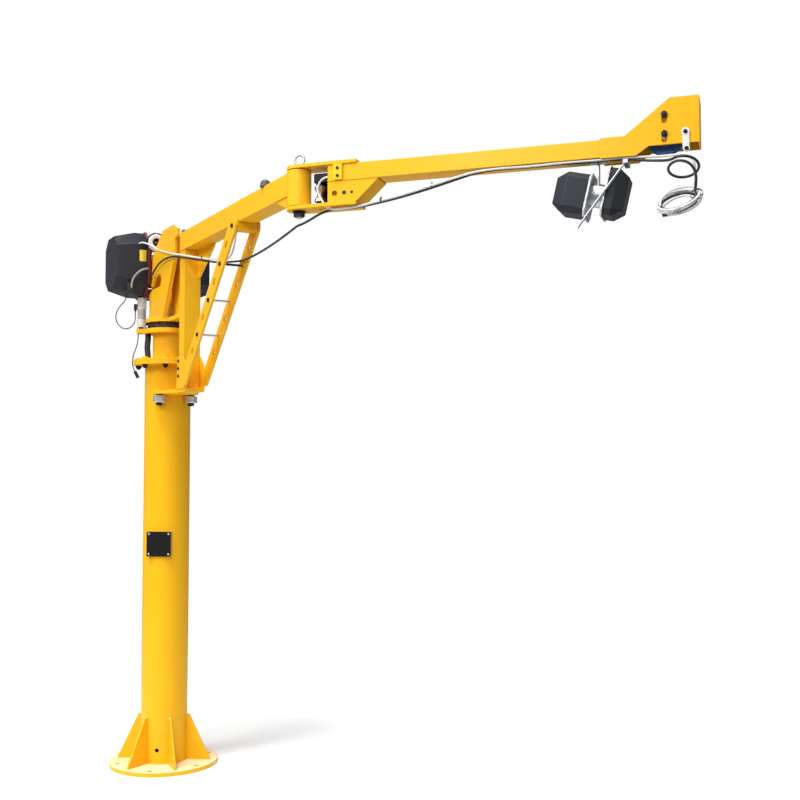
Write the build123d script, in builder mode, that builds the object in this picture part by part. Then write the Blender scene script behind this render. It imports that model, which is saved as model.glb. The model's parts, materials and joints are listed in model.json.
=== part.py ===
"""Folding jib crane: a bolted-down column, a slewing inner arm with its hoist, and a folding outer arm.

Millimetres, +Z up. The origin is the centre of the base plate's underside. +X runs along the inner arm, the
near side is -Y. The outer arm is drawn turned about the elbow by OUTER_TURN.
"""
from build123d import *
from math import atan2, cos, degrees, hypot, pi, radians, sin, sqrt, tan
import os

# Column and its foot
BASE_D = 510.0
BASE_T = 18.0
BASE_BORE_D = 120.0
ANCHOR_COUNT = 6
ANCHOR_PCD = 440.0
ANCHOR_HOLE_D = 22.0
COLUMN_D = 219.0
COLUMN_WALL = 8.0
COLUMN_LEN = 1890.0
GUSSET_COUNT = 6
GUSSET_TURN = -4.0
GUSSET_T = 10.0
GUSSET_H = 215.0
GUSSET_FOOT = 114.0
GUSSET_TOP = 14.0
GUSSET_TOE = 10.0
SERVICE_TURN = -35.0
CABLE_HOLE_D = 20.0
CABLE_HOLE_RISE = 64.0

# Access cover on the column
COVER_SIDE = 118.0
COVER_T = 4.0
COVER_RISE = 1032.0
COVER_STANDOFF = 4.0
COVER_OPENING = 84.0
COVER_SCREW_D = 6.0
COVER_SCREW_HEAD_D = 11.0
COVER_SCREW_HEAD_H = 3.0
COVER_SCREW_INSET = 11.0

# Bolted flanges, neck and bearing seat
FLANGE_D = 328.0
FLANGE_T = 14.0
FLANGE_BOLT_COUNT = 8
FLANGE_PCD = 282.0
FLANGE_BOLT_D = 16.0
NECK_D = 148.0
NECK_WALL = 10.0
NECK_LEN = 128.0
SEAT_D = 224.0
SEAT_T = 22.0
STOP_TURN = -108.0
STOP_REACH = 152.0
STOP_W = 48.0
BOLT_PLAY = 0.5

# Slewing bearing and the plate that turns on it
BEARING_D = 200.0
BEARING_BORE_D = 110.0
BEARING_H = 30.0
BEARING_LIP_D = 156.0
BEARING_STEP = 13.0
RUNNING_CLEARANCE = 0.05
END_PLAY = 0.4
SLEW_PLATE_D = 220.0
SLEW_PLATE_T = 20.0
SLEW_TONGUE_W = 64.0

# Inner arm, post and slewing head
INNER_REACH = 1545.0
ARM_RISE = 288.0
ARM_W = 80.0
ARM_H = 86.0
ARM_WALL = 6.0
POST_BACK = 286.0
POST_DEPTH = 66.0
POST_LEN = 646.0
HEAD_PLATE_T = 12.0
HEAD_REAR = 152.0
HEAD_CROWN = 52.0
HEAD_FRONT_GAP = 40.0
HEAD_CROWN_LEN = 165.0
HEAD_CROWN_INSET = 25.0
HEAD_NOTCH_H = 50.0
WEB_T = 12.0
GUSSET_PLATE_T = 10.0
GUSSET_PLATE_LEN = 205.0
GUSSET_PLATE_H = 130.0
GUSSET_PLATE_TIP = 14.0
GUSSET_PLATE_Y = 30.0
FOOT_PLATE_T = 5.0
FOOT_BACK = 22.0
FOOT_FRONT = 402.0
FOOT_RISE = 150.0
FOOT_BOLT_D = 16.0
FOOT_BOLT_COUNT = 3
FOOT_BOLT_PITCH = 35.0
FOOT_BOLT_RISE = 60.0

# Perforated struts
STRUT_W = 72.0
STRUT_T = 10.0
STRUT_TOP_X = 1003.0
STRUT_TOP_DROP = 14.0
STRUT_FOOT_X = 405.0
STRUT_FOOT_RISE = 46.0
STRUT_PITCH = 97.0
STRUT_HOLE_D = 24.0
STRUT_SLOT_LEN = 42.0
STRUT_LUG_LEN = 58.0
STRUT_LUG_H = 32.0
SPACER_D = 10.0
STRUT_HEAD_H = 6.0

# Lower guide rollers
BRACKET_T = 16.0
BRACKET_ARM_X = 88.0
BRACKET_HALF_W = 104.0
COLUMN_CLEARANCE = 6.5
ROLLER_D = 60.0
ROLLER_H = 34.0
ROLLER_HALF_SPACING = 78.0
ROLLER_GAP = 0.3
ROLLER_DROP = 5.0
ROLLER_PIN_D = 20.0
ROLLER_CHAMFER = 2.5
ROLLER_NUT_GAP = 1.0

# Hoist
HOIST_X = -260.0
HOIST_RISE = 10.0
HOIST_DEPTH = 260.0
HOIST_H = 316.0
HOIST_CUT = 66.0
HOIST_NEAR_LEN = 150.0
HOIST_FAR_LEN = 194.0
HOIST_TAPER_LEN = 100.0
HOIST_TAPER = 26.0
HOIST_WALL = 4.0
HOIST_FRAME_T = 12.0
HOIST_FRAME_FACE = 58.0
HOIST_FRAME_NOSE = 24.0
MOTOR_D = 165.0
MOTOR_LEN = 110.0
DRUM_D = 140.0
DRUM_FLANGE_D = 186.0
DRUM_FLANGE_T = 8.0
DRUM_SHAFT_D = 30.0
DRUM_PLAY = 2.0
TIE_BAR_D = 24.0
GUIDE_RING_D = 84.0
GUIDE_RING_BORE_D = 40.0
GUIDE_RING_T = 20.0
GUIDE_RING_Y = -41.0
GUIDE_PLATE_T = 6.0
GUIDE_RISE = 94.0
GUIDE_REACH = 40.0
COUPLING_D = 46.0
COUPLING_LEN = 170.0
COUPLING_SETBACK = 20.0
GLAND_W = 28.0
GLAND_OFFSET = 82.0
GLAND_LIP = 6.0

# Elbow
OUTER_TURN = 41.9
BARREL_D = 89.0
BARREL_BORE_D = 56.0
ELBOW_PIN_D = 45.0
BUSH_FLANGE_T = 2.6
BUSH_LEN = 40.0
BARREL_GUSSET_LEN = 95.0
BARREL_GUSSET_LIP = 4.0
FORK_PLATE_T = 12.0
FORK_INNER_H = 139.0
FORK_RISE = 8.0
FORK_LEN = 242.0
FORK_SIDE_T = 6.0
FORK_SIDE_START = 131.0
FORK_SIDE_END = 323.0
FORK_SIDE_END_RISE = 74.0
ELBOW_STUD_D = 24.0
ELBOW_NUT_AF = 36.0
ELBOW_NUT_H = 22.0
EYE_RING_D = 46.0
EYE_WIRE_D = 9.0
EYE_COLLAR_D = 36.0
EYE_COLLAR_H = 10.0
FORK_SLOT_X = 117.0
FORK_SLOT_Y = -30.0
FORK_SLOT_LEN = 40.0
FORK_SLOT_W = 20.0
GUIDE_PULLEY_X = 84.0
GUIDE_PULLEY_D = 42.0
GUIDE_PULLEY_H = 58.0
GUIDE_PULLEY_RISE = 16.0
GUIDE_BOLT_D = 12.0
GUIDE_BOLT_HEAD_H = 8.0
GUIDE_BRACKET_W = 28.0
GUIDE_BRACKET_REACH = 20.0
GUIDE_BRACKET_DROP = 20.0
GUIDE_GAP = 1.0
GUIDE_SHIELD_X = 78.0
GUIDE_SHIELD_Y = 28.0
GUIDE_SHIELD_T = 4.0
GUIDE_SHIELD_GAP = 6.0

# Outer arm and its tip
OUTER_W = 92.0
OUTER_H = 60.0
OUTER_WALL = 4.0
TIP_REACH = 1429.0
TIP_LEN = 203.0
OUTER_END = TIP_REACH - TIP_LEN
TIP_LAP = 116.0
TIP_START = OUTER_END - TIP_LAP
TIP_PLATE_T = 6.0
TIP_LIP = 4.0
TIP_SLOPE_LAP = 36.0
TIP_SLOPE_START = OUTER_END - TIP_SLOPE_LAP
TIP_TOP_LEN = 93.0
TIP_TOP_START = TIP_REACH - TIP_TOP_LEN
TIP_RISE = 118.0
TIP_BELLY = 24.0
TIP_BELLY_LEN = 41.0
TIP_CAP_T = 5.0
SHEAVE_INSET = 111.0
SHEAVE_X = TIP_REACH - SHEAVE_INSET
SHEAVE_D = 120.0
SHEAVE_W = 26.0
SHEAVE_ROPE_D = 10.0
SHEAVE_RIM = 3.0
SHEAVE_PIN_D = 16.0
SHEAVE_PLAY = 0.5
TIP_BOLT_HEAD_H = 8.0
TIP_BOLT_RISE = 64.0
TIP_BOLT_AF = 19.0
TIP_SLOT_LEN = 38.0
HANGER_INSET = 44.0
HANGER_X = TIP_REACH - HANGER_INSET
HANGER_LEAN = 3.0
HANGER_W = 22.0
HANGER_EYE_W = 26.0
HANGER_T = 5.0
HANGER_LEN = 56.0
HANGER_BOLT_D = 14.0
HANGER_BOLT_H = 6.0
STOP_BLOCK_X = 172.0
STOP_BLOCK_W = 34.0
STOP_BLOCK_H = 58.0
STOP_BLOCK_T = 8.0
STOP_BLOCK_CORNER = 3.0
STOP_BOLT_AF = 10.0
STOP_BOLT_H = 4.0
STOP_BOLT_PITCH = 28.0

# Twin-cover unit hung under the outer arm
UNIT_SETBACK = 129.0
UNIT_X = OUTER_END - UNIT_SETBACK
UNIT_DROP = 118.0
UNIT_TILT = 13.0
UNIT_LEFT_LEN = 112.0
UNIT_RIGHT_LEN = 64.0
UNIT_H = 160.0
UNIT_LEFT_H = 138.0
UNIT_LEFT_LIFT = -11.0
UNIT_RIGHT_LIFT = 12.0
UNIT_DEPTH = 130.0
UNIT_CUT = 18.0
UNIT_GAP = 62.0
UNIT_TAPER_LEN = 36.0
UNIT_TAPER = 24.0
UNIT_WALL = 3.0
UNIT_PLATE_T = 6.0
UNIT_RIM = 5.0
UNIT_HANGER_W = 36.0
UNIT_STAY_D = 8.0
UNIT_STAY_GAP = 2.0
UNIT_STAY_RISE = 5.0
UNIT_STAY_LOW = 148.0
UNIT_STAY_HIGH = 115.0
UNIT_STAY_TURN = 52.7
UNIT_BAR_INSET = 8.0
UNIT_RISER_W = 14.0

# Cables and hoses
POWER_D = 9.0
CONTROL_D = 8.0
CONDUIT_D = 11.5
THIN_D = 5.0
HOSE_D = 28.0
COIL_D = 144.0
COIL_BAND = 24.0
COIL_INSET = 68.0
COIL_OFFSET = 8.0
COIL_DROP = 166.0
LOOP_D = 100.0
LOOP_LEAN = -0.40
LOOP_INSET = 51.0
LOOP_OFFSET = 10.0
LOOP_DROP = 52.0
PLUG_D = 16.0
PLUG_LEN = 44.0
ELBOW_CABLE_GAP = 14.0

# Heights and radii that follow from the sizes above
column_r = COLUMN_D / 2
column_top = BASE_T + COLUMN_LEN
neck_foot = column_top + 2 * FLANGE_T
seat_foot = neck_foot + NECK_LEN
seat_top = seat_foot + SEAT_T
slew_foot = seat_top + BEARING_H
slew_top = slew_foot + SLEW_PLATE_T
arm_foot = slew_top + ARM_RISE
arm_top = arm_foot + ARM_H
arm_side = ARM_W / 2
bracket_top = arm_foot - POST_LEN
post_front = POST_BACK + POST_DEPTH
head_outer = arm_side + HEAD_PLATE_T
head_front = POST_BACK - HEAD_FRONT_GAP
head_crown = arm_top + HEAD_CROWN
fork_top = arm_top + FORK_RISE
fork_foot = fork_top - FORK_INNER_H
barrel_top = fork_top - END_PLAY - BUSH_FLANGE_T
barrel_foot = fork_foot + END_PLAY + BUSH_FLANGE_T
outer_foot = fork_top - OUTER_H
outer_side = OUTER_W / 2
fork_outer = outer_side + FORK_SIDE_T
tip_outer = outer_side + TIP_PLATE_T
hoist_z = arm_foot + HOIST_RISE
hoist_front = HOIST_X + HOIST_DEPTH / 2
frame_outer = HOIST_FRAME_FACE + HOIST_FRAME_T
frame_front = hoist_front + HOIST_FRAME_NOSE
roller_orbit = column_r + ROLLER_GAP + ROLLER_D / 2
roller_x = sqrt(roller_orbit**2 - ROLLER_HALF_SPACING**2)
roller_top = bracket_top - BRACKET_T - ROLLER_DROP

# The outer arm's own frame: its x runs along the arm from the elbow axis, its z is up
ELBOW = Plane(
    origin=(INNER_REACH, 0, 0),
    x_dir=(cos(radians(OUTER_TURN)), sin(radians(OUTER_TURN)), 0),
    z_dir=(0, 0, 1),
)

os.makedirs("parts", exist_ok=True)


def side_plane(frame, offset):
    """Upright plane along a frame's x axis: local x along it, local y up and its normal to the near side."""
    return Plane(origin=frame.from_local_coords((0, offset, 0)), x_dir=frame.x_dir, z_dir=-frame.y_dir)


def cross_plane(frame, along):
    """Upright plane across a frame at a distance along it: local x is the far side, local y is up."""
    return Plane(origin=frame.from_local_coords((along, 0, 0)), x_dir=frame.y_dir, z_dir=frame.x_dir)


def keep(builder, name):
    """Label a finished piece and write it to its own file."""
    builder.part.label = name
    export_step(builder.part, f"parts/{name}.step")


def octagon(depth, height, cut, inset=0.0):
    """Corner points of a rectangle with cut corners, drawn in all round by an inset."""
    x, y = depth / 2 - inset, height / 2 - inset
    quarter = [(x, y - cut), (x - cut, y)]
    left = [(-px, py) for px, py in reversed(quarter)]
    top = quarter + left
    return top + [(-px, -py) for px, py in top]


def cord_radii(points):
    """Bend radii for a cord's route: as large as the two runs at each corner allow."""
    radii = []
    for before, corner, after in zip(points, points[1:], points[2:]):
        run_in = Vector(*corner) - Vector(*before)
        run_out = Vector(*after) - Vector(*corner)
        half_turn = radians(run_in.get_angle(run_out)) / 2
        radii.append(0.45 * min(run_in.length, run_out.length) / tan(half_turn))
    return radii


def cord(name, points, diameter):
    """Round cord along a hand-chosen route of straight runs joined by tangent arcs."""
    radii = cord_radii(points)
    with BuildPart() as tube:
        with BuildLine() as route:
            FilletPolyline(*points, radius=radii)
        with BuildSketch(Plane(origin=route.line @ 0, z_dir=route.line % 0)):
            Circle(diameter / 2)
        sweep()
    length = sum(edge.length for edge in route.edges())
    share = tube.part.volume / (pi * diameter**2 / 4 * length)
    print(f"{name}: length {length:.0f}, tightest bend {min(radii):.0f}, volume share {share:.4f}")
    keep(tube, name)


def outer_point(along, sideways, height):
    """A point given along the outer arm, as coordinates of the whole crane."""
    return tuple(ELBOW.from_local_coords((along, sideways, height)))


def beneath(along):
    """Distance from the elbow of a cable's point, drawn for an arm box that is 984 mm long past the fork."""
    return FORK_LEN + along * (OUTER_END - FORK_LEN) / 984.0


# Base plate with its anchor holes
with BuildPart() as base_plate:
    with BuildSketch():
        Circle(BASE_D / 2)
        Circle(BASE_BORE_D / 2, mode=Mode.SUBTRACT)
        with PolarLocations(ANCHOR_PCD / 2, ANCHOR_COUNT, start_angle=GUSSET_TURN + 180 / GUSSET_COUNT):
            Circle(ANCHOR_HOLE_D / 2, mode=Mode.SUBTRACT)
    extrude(amount=BASE_T)
keep(base_plate, "base_plate")

# Tapered ribs between the column and the plate
gusset_outline = [
    (-COLUMN_WALL / 2, 0),
    (GUSSET_FOOT, 0),
    (GUSSET_FOOT, GUSSET_TOE),
    (GUSSET_TOP, GUSSET_H),
    (-COLUMN_WALL / 2, GUSSET_H),
]
with BuildPart() as base_gussets:
    for k in range(GUSSET_COUNT):
        turned = Plane.XY.rotated((0, 0, GUSSET_TURN + 360 * k / GUSSET_COUNT))
        rib_plane = side_plane(turned, 0)
        with BuildSketch(rib_plane):
            Polygon(*[(column_r + x, BASE_T + z) for x, z in gusset_outline], align=None)
        extrude(amount=GUSSET_T / 2, both=True)
    Cylinder(column_r, column_top, align=(Align.CENTER, Align.CENTER, Align.MIN), mode=Mode.SUBTRACT)
keep(base_gussets, "base_gussets")

# Column tube with its access window and cable hole
service = Plane.XY.rotated((0, 0, SERVICE_TURN))
cover_z = BASE_T + COVER_RISE
with BuildPart() as column_tube:
    with BuildSketch(Plane.XY.offset(BASE_T)):
        Circle(column_r)
        Circle(column_r - COLUMN_WALL, mode=Mode.SUBTRACT)
    extrude(amount=COLUMN_LEN)
    with BuildSketch(cross_plane(service, 0)):
        with Locations((0, cover_z)):
            Rectangle(COVER_OPENING, COVER_OPENING)
        with Locations((0, BASE_T + CABLE_HOLE_RISE)):
            Circle(CABLE_HOLE_D / 2)
    extrude(amount=COLUMN_D, mode=Mode.SUBTRACT)
keep(column_tube, "column_tube")

# Flat frame welded round the window, which the cover is screwed to
cover_face = column_r + COVER_STANDOFF
screw_half = COVER_SIDE / 2 - COVER_SCREW_INSET
with BuildPart() as cover_frame:
    with BuildSketch(cross_plane(service, 0)):
        with Locations((0, cover_z)):
            Rectangle(COVER_SIDE, COVER_SIDE)
            Rectangle(COVER_OPENING, COVER_OPENING, mode=Mode.SUBTRACT)
            with GridLocations(2 * screw_half, 2 * screw_half, 2, 2):
                Circle(COVER_SCREW_D / 2 + BOLT_PLAY, mode=Mode.SUBTRACT)
    extrude(amount=cover_face)
    Cylinder(column_r, column_top, align=(Align.CENTER, Align.CENTER, Align.MIN), mode=Mode.SUBTRACT)
keep(cover_frame, "cover_frame")

with BuildPart() as access_cover:
    with BuildSketch(cross_plane(service, cover_face)):
        with Locations((0, cover_z)):
            RectangleRounded(COVER_SIDE, COVER_SIDE, COVER_T)
            with GridLocations(2 * screw_half, 2 * screw_half, 2, 2):
                Circle(COVER_SCREW_D / 2 + BOLT_PLAY, mode=Mode.SUBTRACT)
    extrude(amount=COVER_T)
keep(access_cover, "access_cover")

screw_reach = cover_face - sqrt(column_r**2 - (screw_half - COVER_SCREW_D)**2)
with BuildPart() as cover_screws:
    with BuildSketch(cross_plane(service, cover_face + COVER_T)):
        with Locations((0, cover_z)):
            with GridLocations(2 * screw_half, 2 * screw_half, 2, 2):
                Circle(COVER_SCREW_HEAD_D / 2)
    extrude(amount=COVER_SCREW_HEAD_H)
    with BuildSketch(cross_plane(service, cover_face + COVER_T)):
        with Locations((0, cover_z)):
            with GridLocations(2 * screw_half, 2 * screw_half, 2, 2):
                Circle(COVER_SCREW_D / 2)
    extrude(amount=-(COVER_T + 0.8 * screw_reach))
keep(cover_screws, "cover_screws")

# Column flange and neck flange, bolted face to face
for name, foot, bore_d in (
    ("column_flange", column_top, COLUMN_D - 2 * COLUMN_WALL),
    ("neck_flange", column_top + FLANGE_T, NECK_D - 2 * NECK_WALL),
):
    with BuildPart() as flange:
        with BuildSketch(Plane.XY.offset(foot)):
            Circle(FLANGE_D / 2)
            Circle(bore_d / 2, mode=Mode.SUBTRACT)
            with PolarLocations(FLANGE_PCD / 2, FLANGE_BOLT_COUNT, start_angle=180 / FLANGE_BOLT_COUNT):
                Circle(FLANGE_BOLT_D / 2 + BOLT_PLAY, mode=Mode.SUBTRACT)
        extrude(amount=FLANGE_T)
    keep(flange, name)

bolt_head_h = 0.65 * FLANGE_BOLT_D
bolt_nut_h = 0.85 * FLANGE_BOLT_D
bolt_tail = 0.35 * FLANGE_BOLT_D
stop_frame = Plane.XY.rotated((0, 0, STOP_TURN))
stop_bolt_r = (SEAT_D / 2 + STOP_REACH) / 2
with BuildPart() as flange_bolts:
    bolt_circle = PolarLocations(FLANGE_PCD / 2, FLANGE_BOLT_COUNT, start_angle=180 / FLANGE_BOLT_COUNT)
    with BuildSketch(Plane.XY.offset(neck_foot)):
        with bolt_circle:
            RegularPolygon(0.75 * FLANGE_BOLT_D, 6, major_radius=False)
    extrude(amount=bolt_head_h)
    with BuildSketch(Plane.XY.offset(column_top - bolt_nut_h)):
        with bolt_circle:
            RegularPolygon(0.75 * FLANGE_BOLT_D, 6, major_radius=False)
    extrude(amount=bolt_nut_h)
    with BuildSketch(Plane.XY.offset(column_top - bolt_nut_h - bolt_tail)):
        with bolt_circle:
            Circle(FLANGE_BOLT_D / 2)
    extrude(amount=2 * FLANGE_T + bolt_nut_h + bolt_tail)
    with BuildSketch(stop_frame.offset(seat_foot)):
        with Locations((stop_bolt_r, 0)):
            Circle(FLANGE_BOLT_D / 2)
    extrude(amount=SEAT_T)
    with BuildSketch(stop_frame.offset(seat_top)):
        with Locations((stop_bolt_r, 0)):
            RegularPolygon(0.75 * FLANGE_BOLT_D, 6, major_radius=False)
    extrude(amount=bolt_head_h)
keep(flange_bolts, "flange_bolts")

# Neck, bearing seat with its stop lug, and the stop bolt
with BuildPart() as neck_tube:
    with BuildSketch(Plane.XY.offset(neck_foot)):
        Circle(NECK_D / 2)
        Circle(NECK_D / 2 - NECK_WALL, mode=Mode.SUBTRACT)
    extrude(amount=NECK_LEN)
keep(neck_tube, "neck_tube")

with BuildPart() as bearing_seat:
    with BuildSketch(Plane.XY.offset(seat_foot)):
        Circle(SEAT_D / 2)
    extrude(amount=SEAT_T)
    with BuildSketch(stop_frame.offset(seat_foot)):
        with Locations((STOP_REACH / 2, 0)):
            Rectangle(STOP_REACH, STOP_W)
    extrude(amount=SEAT_T)
    with BuildSketch(stop_frame.offset(seat_foot)):
        Circle(NECK_D / 2 - NECK_WALL)
        with Locations((stop_bolt_r, 0)):
            Circle(FLANGE_BOLT_D / 2 + BOLT_PLAY)
    extrude(amount=SEAT_T, mode=Mode.SUBTRACT)
keep(bearing_seat, "bearing_seat")

# Slewing bearing: a fixed ring with an upstand, and a turning ring that runs round it
lip_r = BEARING_LIP_D / 2
ring_r = BEARING_D / 2
bore_r = BEARING_BORE_D / 2
roof = BEARING_H - BEARING_STEP / 4
with BuildPart() as bearing_fixed_ring:
    with BuildSketch(Plane.XZ):
        Polygon(
            (bore_r, seat_top),
            (ring_r, seat_top),
            (ring_r, seat_top + BEARING_STEP),
            (lip_r, seat_top + BEARING_STEP),
            (lip_r, seat_top + roof - END_PLAY),
            (bore_r, seat_top + roof - END_PLAY),
            align=None,
        )
    revolve(axis=Axis.Z)
keep(bearing_fixed_ring, "bearing_fixed_ring")

with BuildPart() as bearing_turning_ring:
    with BuildSketch(Plane.XZ):
        Polygon(
            (bore_r, slew_foot),
            (ring_r, slew_foot),
            (ring_r, seat_top + BEARING_STEP + END_PLAY),
            (lip_r + RUNNING_CLEARANCE, seat_top + BEARING_STEP + END_PLAY),
            (lip_r + RUNNING_CLEARANCE, seat_top + roof),
            (bore_r, seat_top + roof),
            align=None,
        )
    revolve(axis=Axis.Z)
keep(bearing_turning_ring, "bearing_turning_ring")

# Slewing plate: a disc with a tongue that reaches the back of the post
with BuildPart() as slewing_plate:
    with BuildSketch(Plane.XY.offset(slew_foot)):
        Circle(SLEW_PLATE_D / 2)
        with Locations((POST_BACK / 2, 0)):
            Rectangle(POST_BACK, SLEW_TONGUE_W)
        Circle(bore_r, mode=Mode.SUBTRACT)
    extrude(amount=SLEW_PLATE_T)
keep(slewing_plate, "slewing_plate")

# Slewing head, welded: notched side plates, one with a window, stiffeners, a web and plates across
head_notch_z = (slew_top + arm_foot) / 2
head_notch_x = -0.66 * HEAD_REAR
plate_foot_x = sqrt((SLEW_PLATE_D / 2)**2 - head_outer**2)
head_root_z = slew_top + 0.85 * ARM_RISE
head_outline = [
    (-HEAD_REAR, slew_top),
    (plate_foot_x, slew_top),
    (head_front, head_root_z),
    (head_front, arm_top - 0.23 * ARM_H),
    (POST_BACK, arm_top - 0.09 * ARM_H),
    (POST_BACK, arm_top + 0.45 * HEAD_CROWN),
    (head_front - HEAD_CROWN_INSET, head_crown),
    (head_front - HEAD_CROWN_INSET - HEAD_CROWN_LEN, head_crown),
    (-0.48 * HEAD_REAR, arm_top - 0.33 * ARM_H),
    (-HEAD_REAR, arm_foot + 0.07 * ARM_H),
    (-HEAD_REAR, head_notch_z + 0.92 * HEAD_NOTCH_H),
    (head_notch_x, head_notch_z + 0.52 * HEAD_NOTCH_H),
    (head_notch_x, head_notch_z + 0.24 * HEAD_NOTCH_H),
    (-HEAD_REAR, head_notch_z - 0.08 * HEAD_NOTCH_H),
]
window_outline = [
    (-0.70 * HEAD_REAR, head_notch_z + 0.24 * HEAD_NOTCH_H),
    (0.18 * HEAD_REAR, head_notch_z + 0.32 * HEAD_NOTCH_H),
    (0.27 * HEAD_REAR, head_notch_z + 0.96 * HEAD_NOTCH_H),
    (0.10 * HEAD_REAR, head_notch_z + 1.60 * HEAD_NOTCH_H),
    (-0.42 * HEAD_REAR, head_notch_z + 1.44 * HEAD_NOTCH_H),
    (-0.70 * HEAD_REAR, head_notch_z + 0.56 * HEAD_NOTCH_H),
]
stiffener_outline = [
    (-0.4 * HEAD_REAR, slew_top),
    (plate_foot_x, slew_top),
    (head_front, head_root_z),
    (head_front, slew_top + 0.92 * ARM_RISE),
]
stiffener_t = 0.6 * HEAD_PLATE_T
back_plate_foot = head_notch_z - HEAD_NOTCH_H
with BuildPart() as slewing_head:
    for face in (-arm_side, head_outer):
        with BuildSketch(side_plane(Plane.XY, face)):
            Polygon(*head_outline, align=None)
        extrude(amount=HEAD_PLATE_T)
    with BuildSketch(side_plane(Plane.XY, -arm_side)):
        Polygon(*window_outline, align=None)
    extrude(amount=HEAD_PLATE_T, mode=Mode.SUBTRACT)
    for face in (-head_outer, head_outer + stiffener_t):
        with BuildSketch(side_plane(Plane.XY, face)):
            Polygon(*stiffener_outline, align=None)
        extrude(amount=stiffener_t)
    with BuildSketch(side_plane(Plane.XY, 0)):
        Polygon(
            (bore_r + WEB_T, slew_top),
            (POST_BACK, slew_top),
            (POST_BACK, arm_top),
            (0, arm_top),
            (0, arm_foot),
            (bore_r + WEB_T, head_notch_z),
            align=None,
        )
    extrude(amount=WEB_T / 2, both=True)
    with BuildSketch(cross_plane(Plane.XY, head_front - 3 * WEB_T)):
        with Locations((0, (arm_foot + arm_top) / 2)):
            Rectangle(ARM_W, ARM_H)
    extrude(amount=WEB_T)
    with BuildSketch(cross_plane(Plane.XY, -HEAD_REAR)):
        with Locations((0, (back_plate_foot + arm_foot) / 2)):
            Rectangle(ARM_W, arm_foot - back_plate_foot)
    extrude(amount=WEB_T)
keep(slewing_head, "slewing_head")

# Post and inner arm, welded box sections
with BuildPart() as post_tube:
    with BuildSketch(Plane.XY.offset(bracket_top)):
        with Locations((POST_BACK + POST_DEPTH / 2, 0)):
            Rectangle(POST_DEPTH, ARM_W)
            Rectangle(POST_DEPTH - 2 * ARM_WALL, ARM_W - 2 * ARM_WALL, mode=Mode.SUBTRACT)
    extrude(amount=POST_LEN)
keep(post_tube, "post_tube")

strut_top = (STRUT_TOP_X, arm_foot - STRUT_TOP_DROP)
strut_foot = (STRUT_FOOT_X, bracket_top + STRUT_FOOT_RISE)
strut_span = hypot(strut_top[0] - strut_foot[0], strut_top[1] - strut_foot[1])
strut_turn = degrees(atan2(strut_top[1] - strut_foot[1], strut_top[0] - strut_foot[0]))
strut_along = (cos(radians(strut_turn)), sin(radians(strut_turn)))
strut_inner = arm_side + FOOT_PLATE_T

with BuildPart() as inner_arm_box:
    with BuildSketch(cross_plane(Plane.XY, POST_BACK)):
        with Locations((0, (arm_foot + arm_top) / 2)):
            Rectangle(ARM_W, ARM_H)
            Rectangle(ARM_W - 2 * ARM_WALL, ARM_H - 2 * ARM_WALL, mode=Mode.SUBTRACT)
    extrude(amount=INNER_REACH - POST_BACK)
    with BuildSketch(Plane.XY.offset(arm_foot)):
        with Locations((INNER_REACH, 0)):
            Circle(BARREL_D / 2)
    extrude(amount=ARM_H, mode=Mode.SUBTRACT)
keep(inner_arm_box, "inner_arm_box")

# Welded plates and lug between the arm, the post and the struts
foot_outline = [
    (POST_BACK - FOOT_BACK, bracket_top),
    (FOOT_FRONT, bracket_top),
    (STRUT_FOOT_X + 0.3 * STRUT_W, bracket_top + STRUT_FOOT_RISE),
    (STRUT_FOOT_X + 0.3 * STRUT_W, bracket_top + STRUT_FOOT_RISE + 0.5 * STRUT_W),
    (post_front, bracket_top + FOOT_RISE),
    (POST_BACK, bracket_top + FOOT_RISE),
]
with BuildPart() as arm_gussets:
    for face in (-arm_side, arm_side + FOOT_PLATE_T):
        with BuildSketch(side_plane(Plane.XY, face)):
            Polygon(*foot_outline, align=None)
        extrude(amount=FOOT_PLATE_T)
    with BuildSketch(side_plane(Plane.XY, GUSSET_PLATE_Y)):
        Polygon(
            (post_front, arm_foot),
            (post_front, arm_foot - GUSSET_PLATE_H),
            (post_front + GUSSET_PLATE_TIP, arm_foot - GUSSET_PLATE_H),
            (post_front + GUSSET_PLATE_LEN, arm_foot - GUSSET_PLATE_TIP),
            (post_front + GUSSET_PLATE_LEN, arm_foot),
            align=None,
        )
    extrude(amount=GUSSET_PLATE_T / 2, both=True)
    with BuildSketch(side_plane(Plane.XY, 0)):
        with Locations((STRUT_TOP_X, arm_foot - STRUT_LUG_H / 2)):
            Rectangle(STRUT_LUG_LEN, STRUT_LUG_H)
        with Locations(strut_top):
            Circle(SPACER_D / 2 + BOLT_PLAY, mode=Mode.SUBTRACT)
    extrude(amount=strut_inner, both=True)
keep(arm_gussets, "arm_gussets")

# Perforated struts with round holes and slots by turns
strut_holes = int((strut_span - STRUT_PITCH) / STRUT_PITCH)
for name, face in (("strut_near", -strut_inner), ("strut_far", strut_inner + STRUT_T)):
    with BuildPart() as strut:
        with BuildSketch(side_plane(Plane.XY, face)):
            with Locations(((strut_top[0] + strut_foot[0]) / 2, (strut_top[1] + strut_foot[1]) / 2)):
                SlotOverall(strut_span + STRUT_W, STRUT_W, rotation=strut_turn)
            with Locations(strut_top):
                Circle(SPACER_D / 2 + BOLT_PLAY, mode=Mode.SUBTRACT)
            for k in range(1, strut_holes + 1):
                reach = k * STRUT_PITCH
                hole = (strut_top[0] - reach * strut_along[0], strut_top[1] - reach * strut_along[1])
                with Locations(hole):
                    if k % 2:
                        SlotOverall(STRUT_SLOT_LEN, STRUT_HOLE_D, rotation=strut_turn, mode=Mode.SUBTRACT)
                    else:
                        Circle(SPACER_D / 2 + BOLT_PLAY, mode=Mode.SUBTRACT)
        extrude(amount=STRUT_T)
    keep(strut, name)

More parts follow.
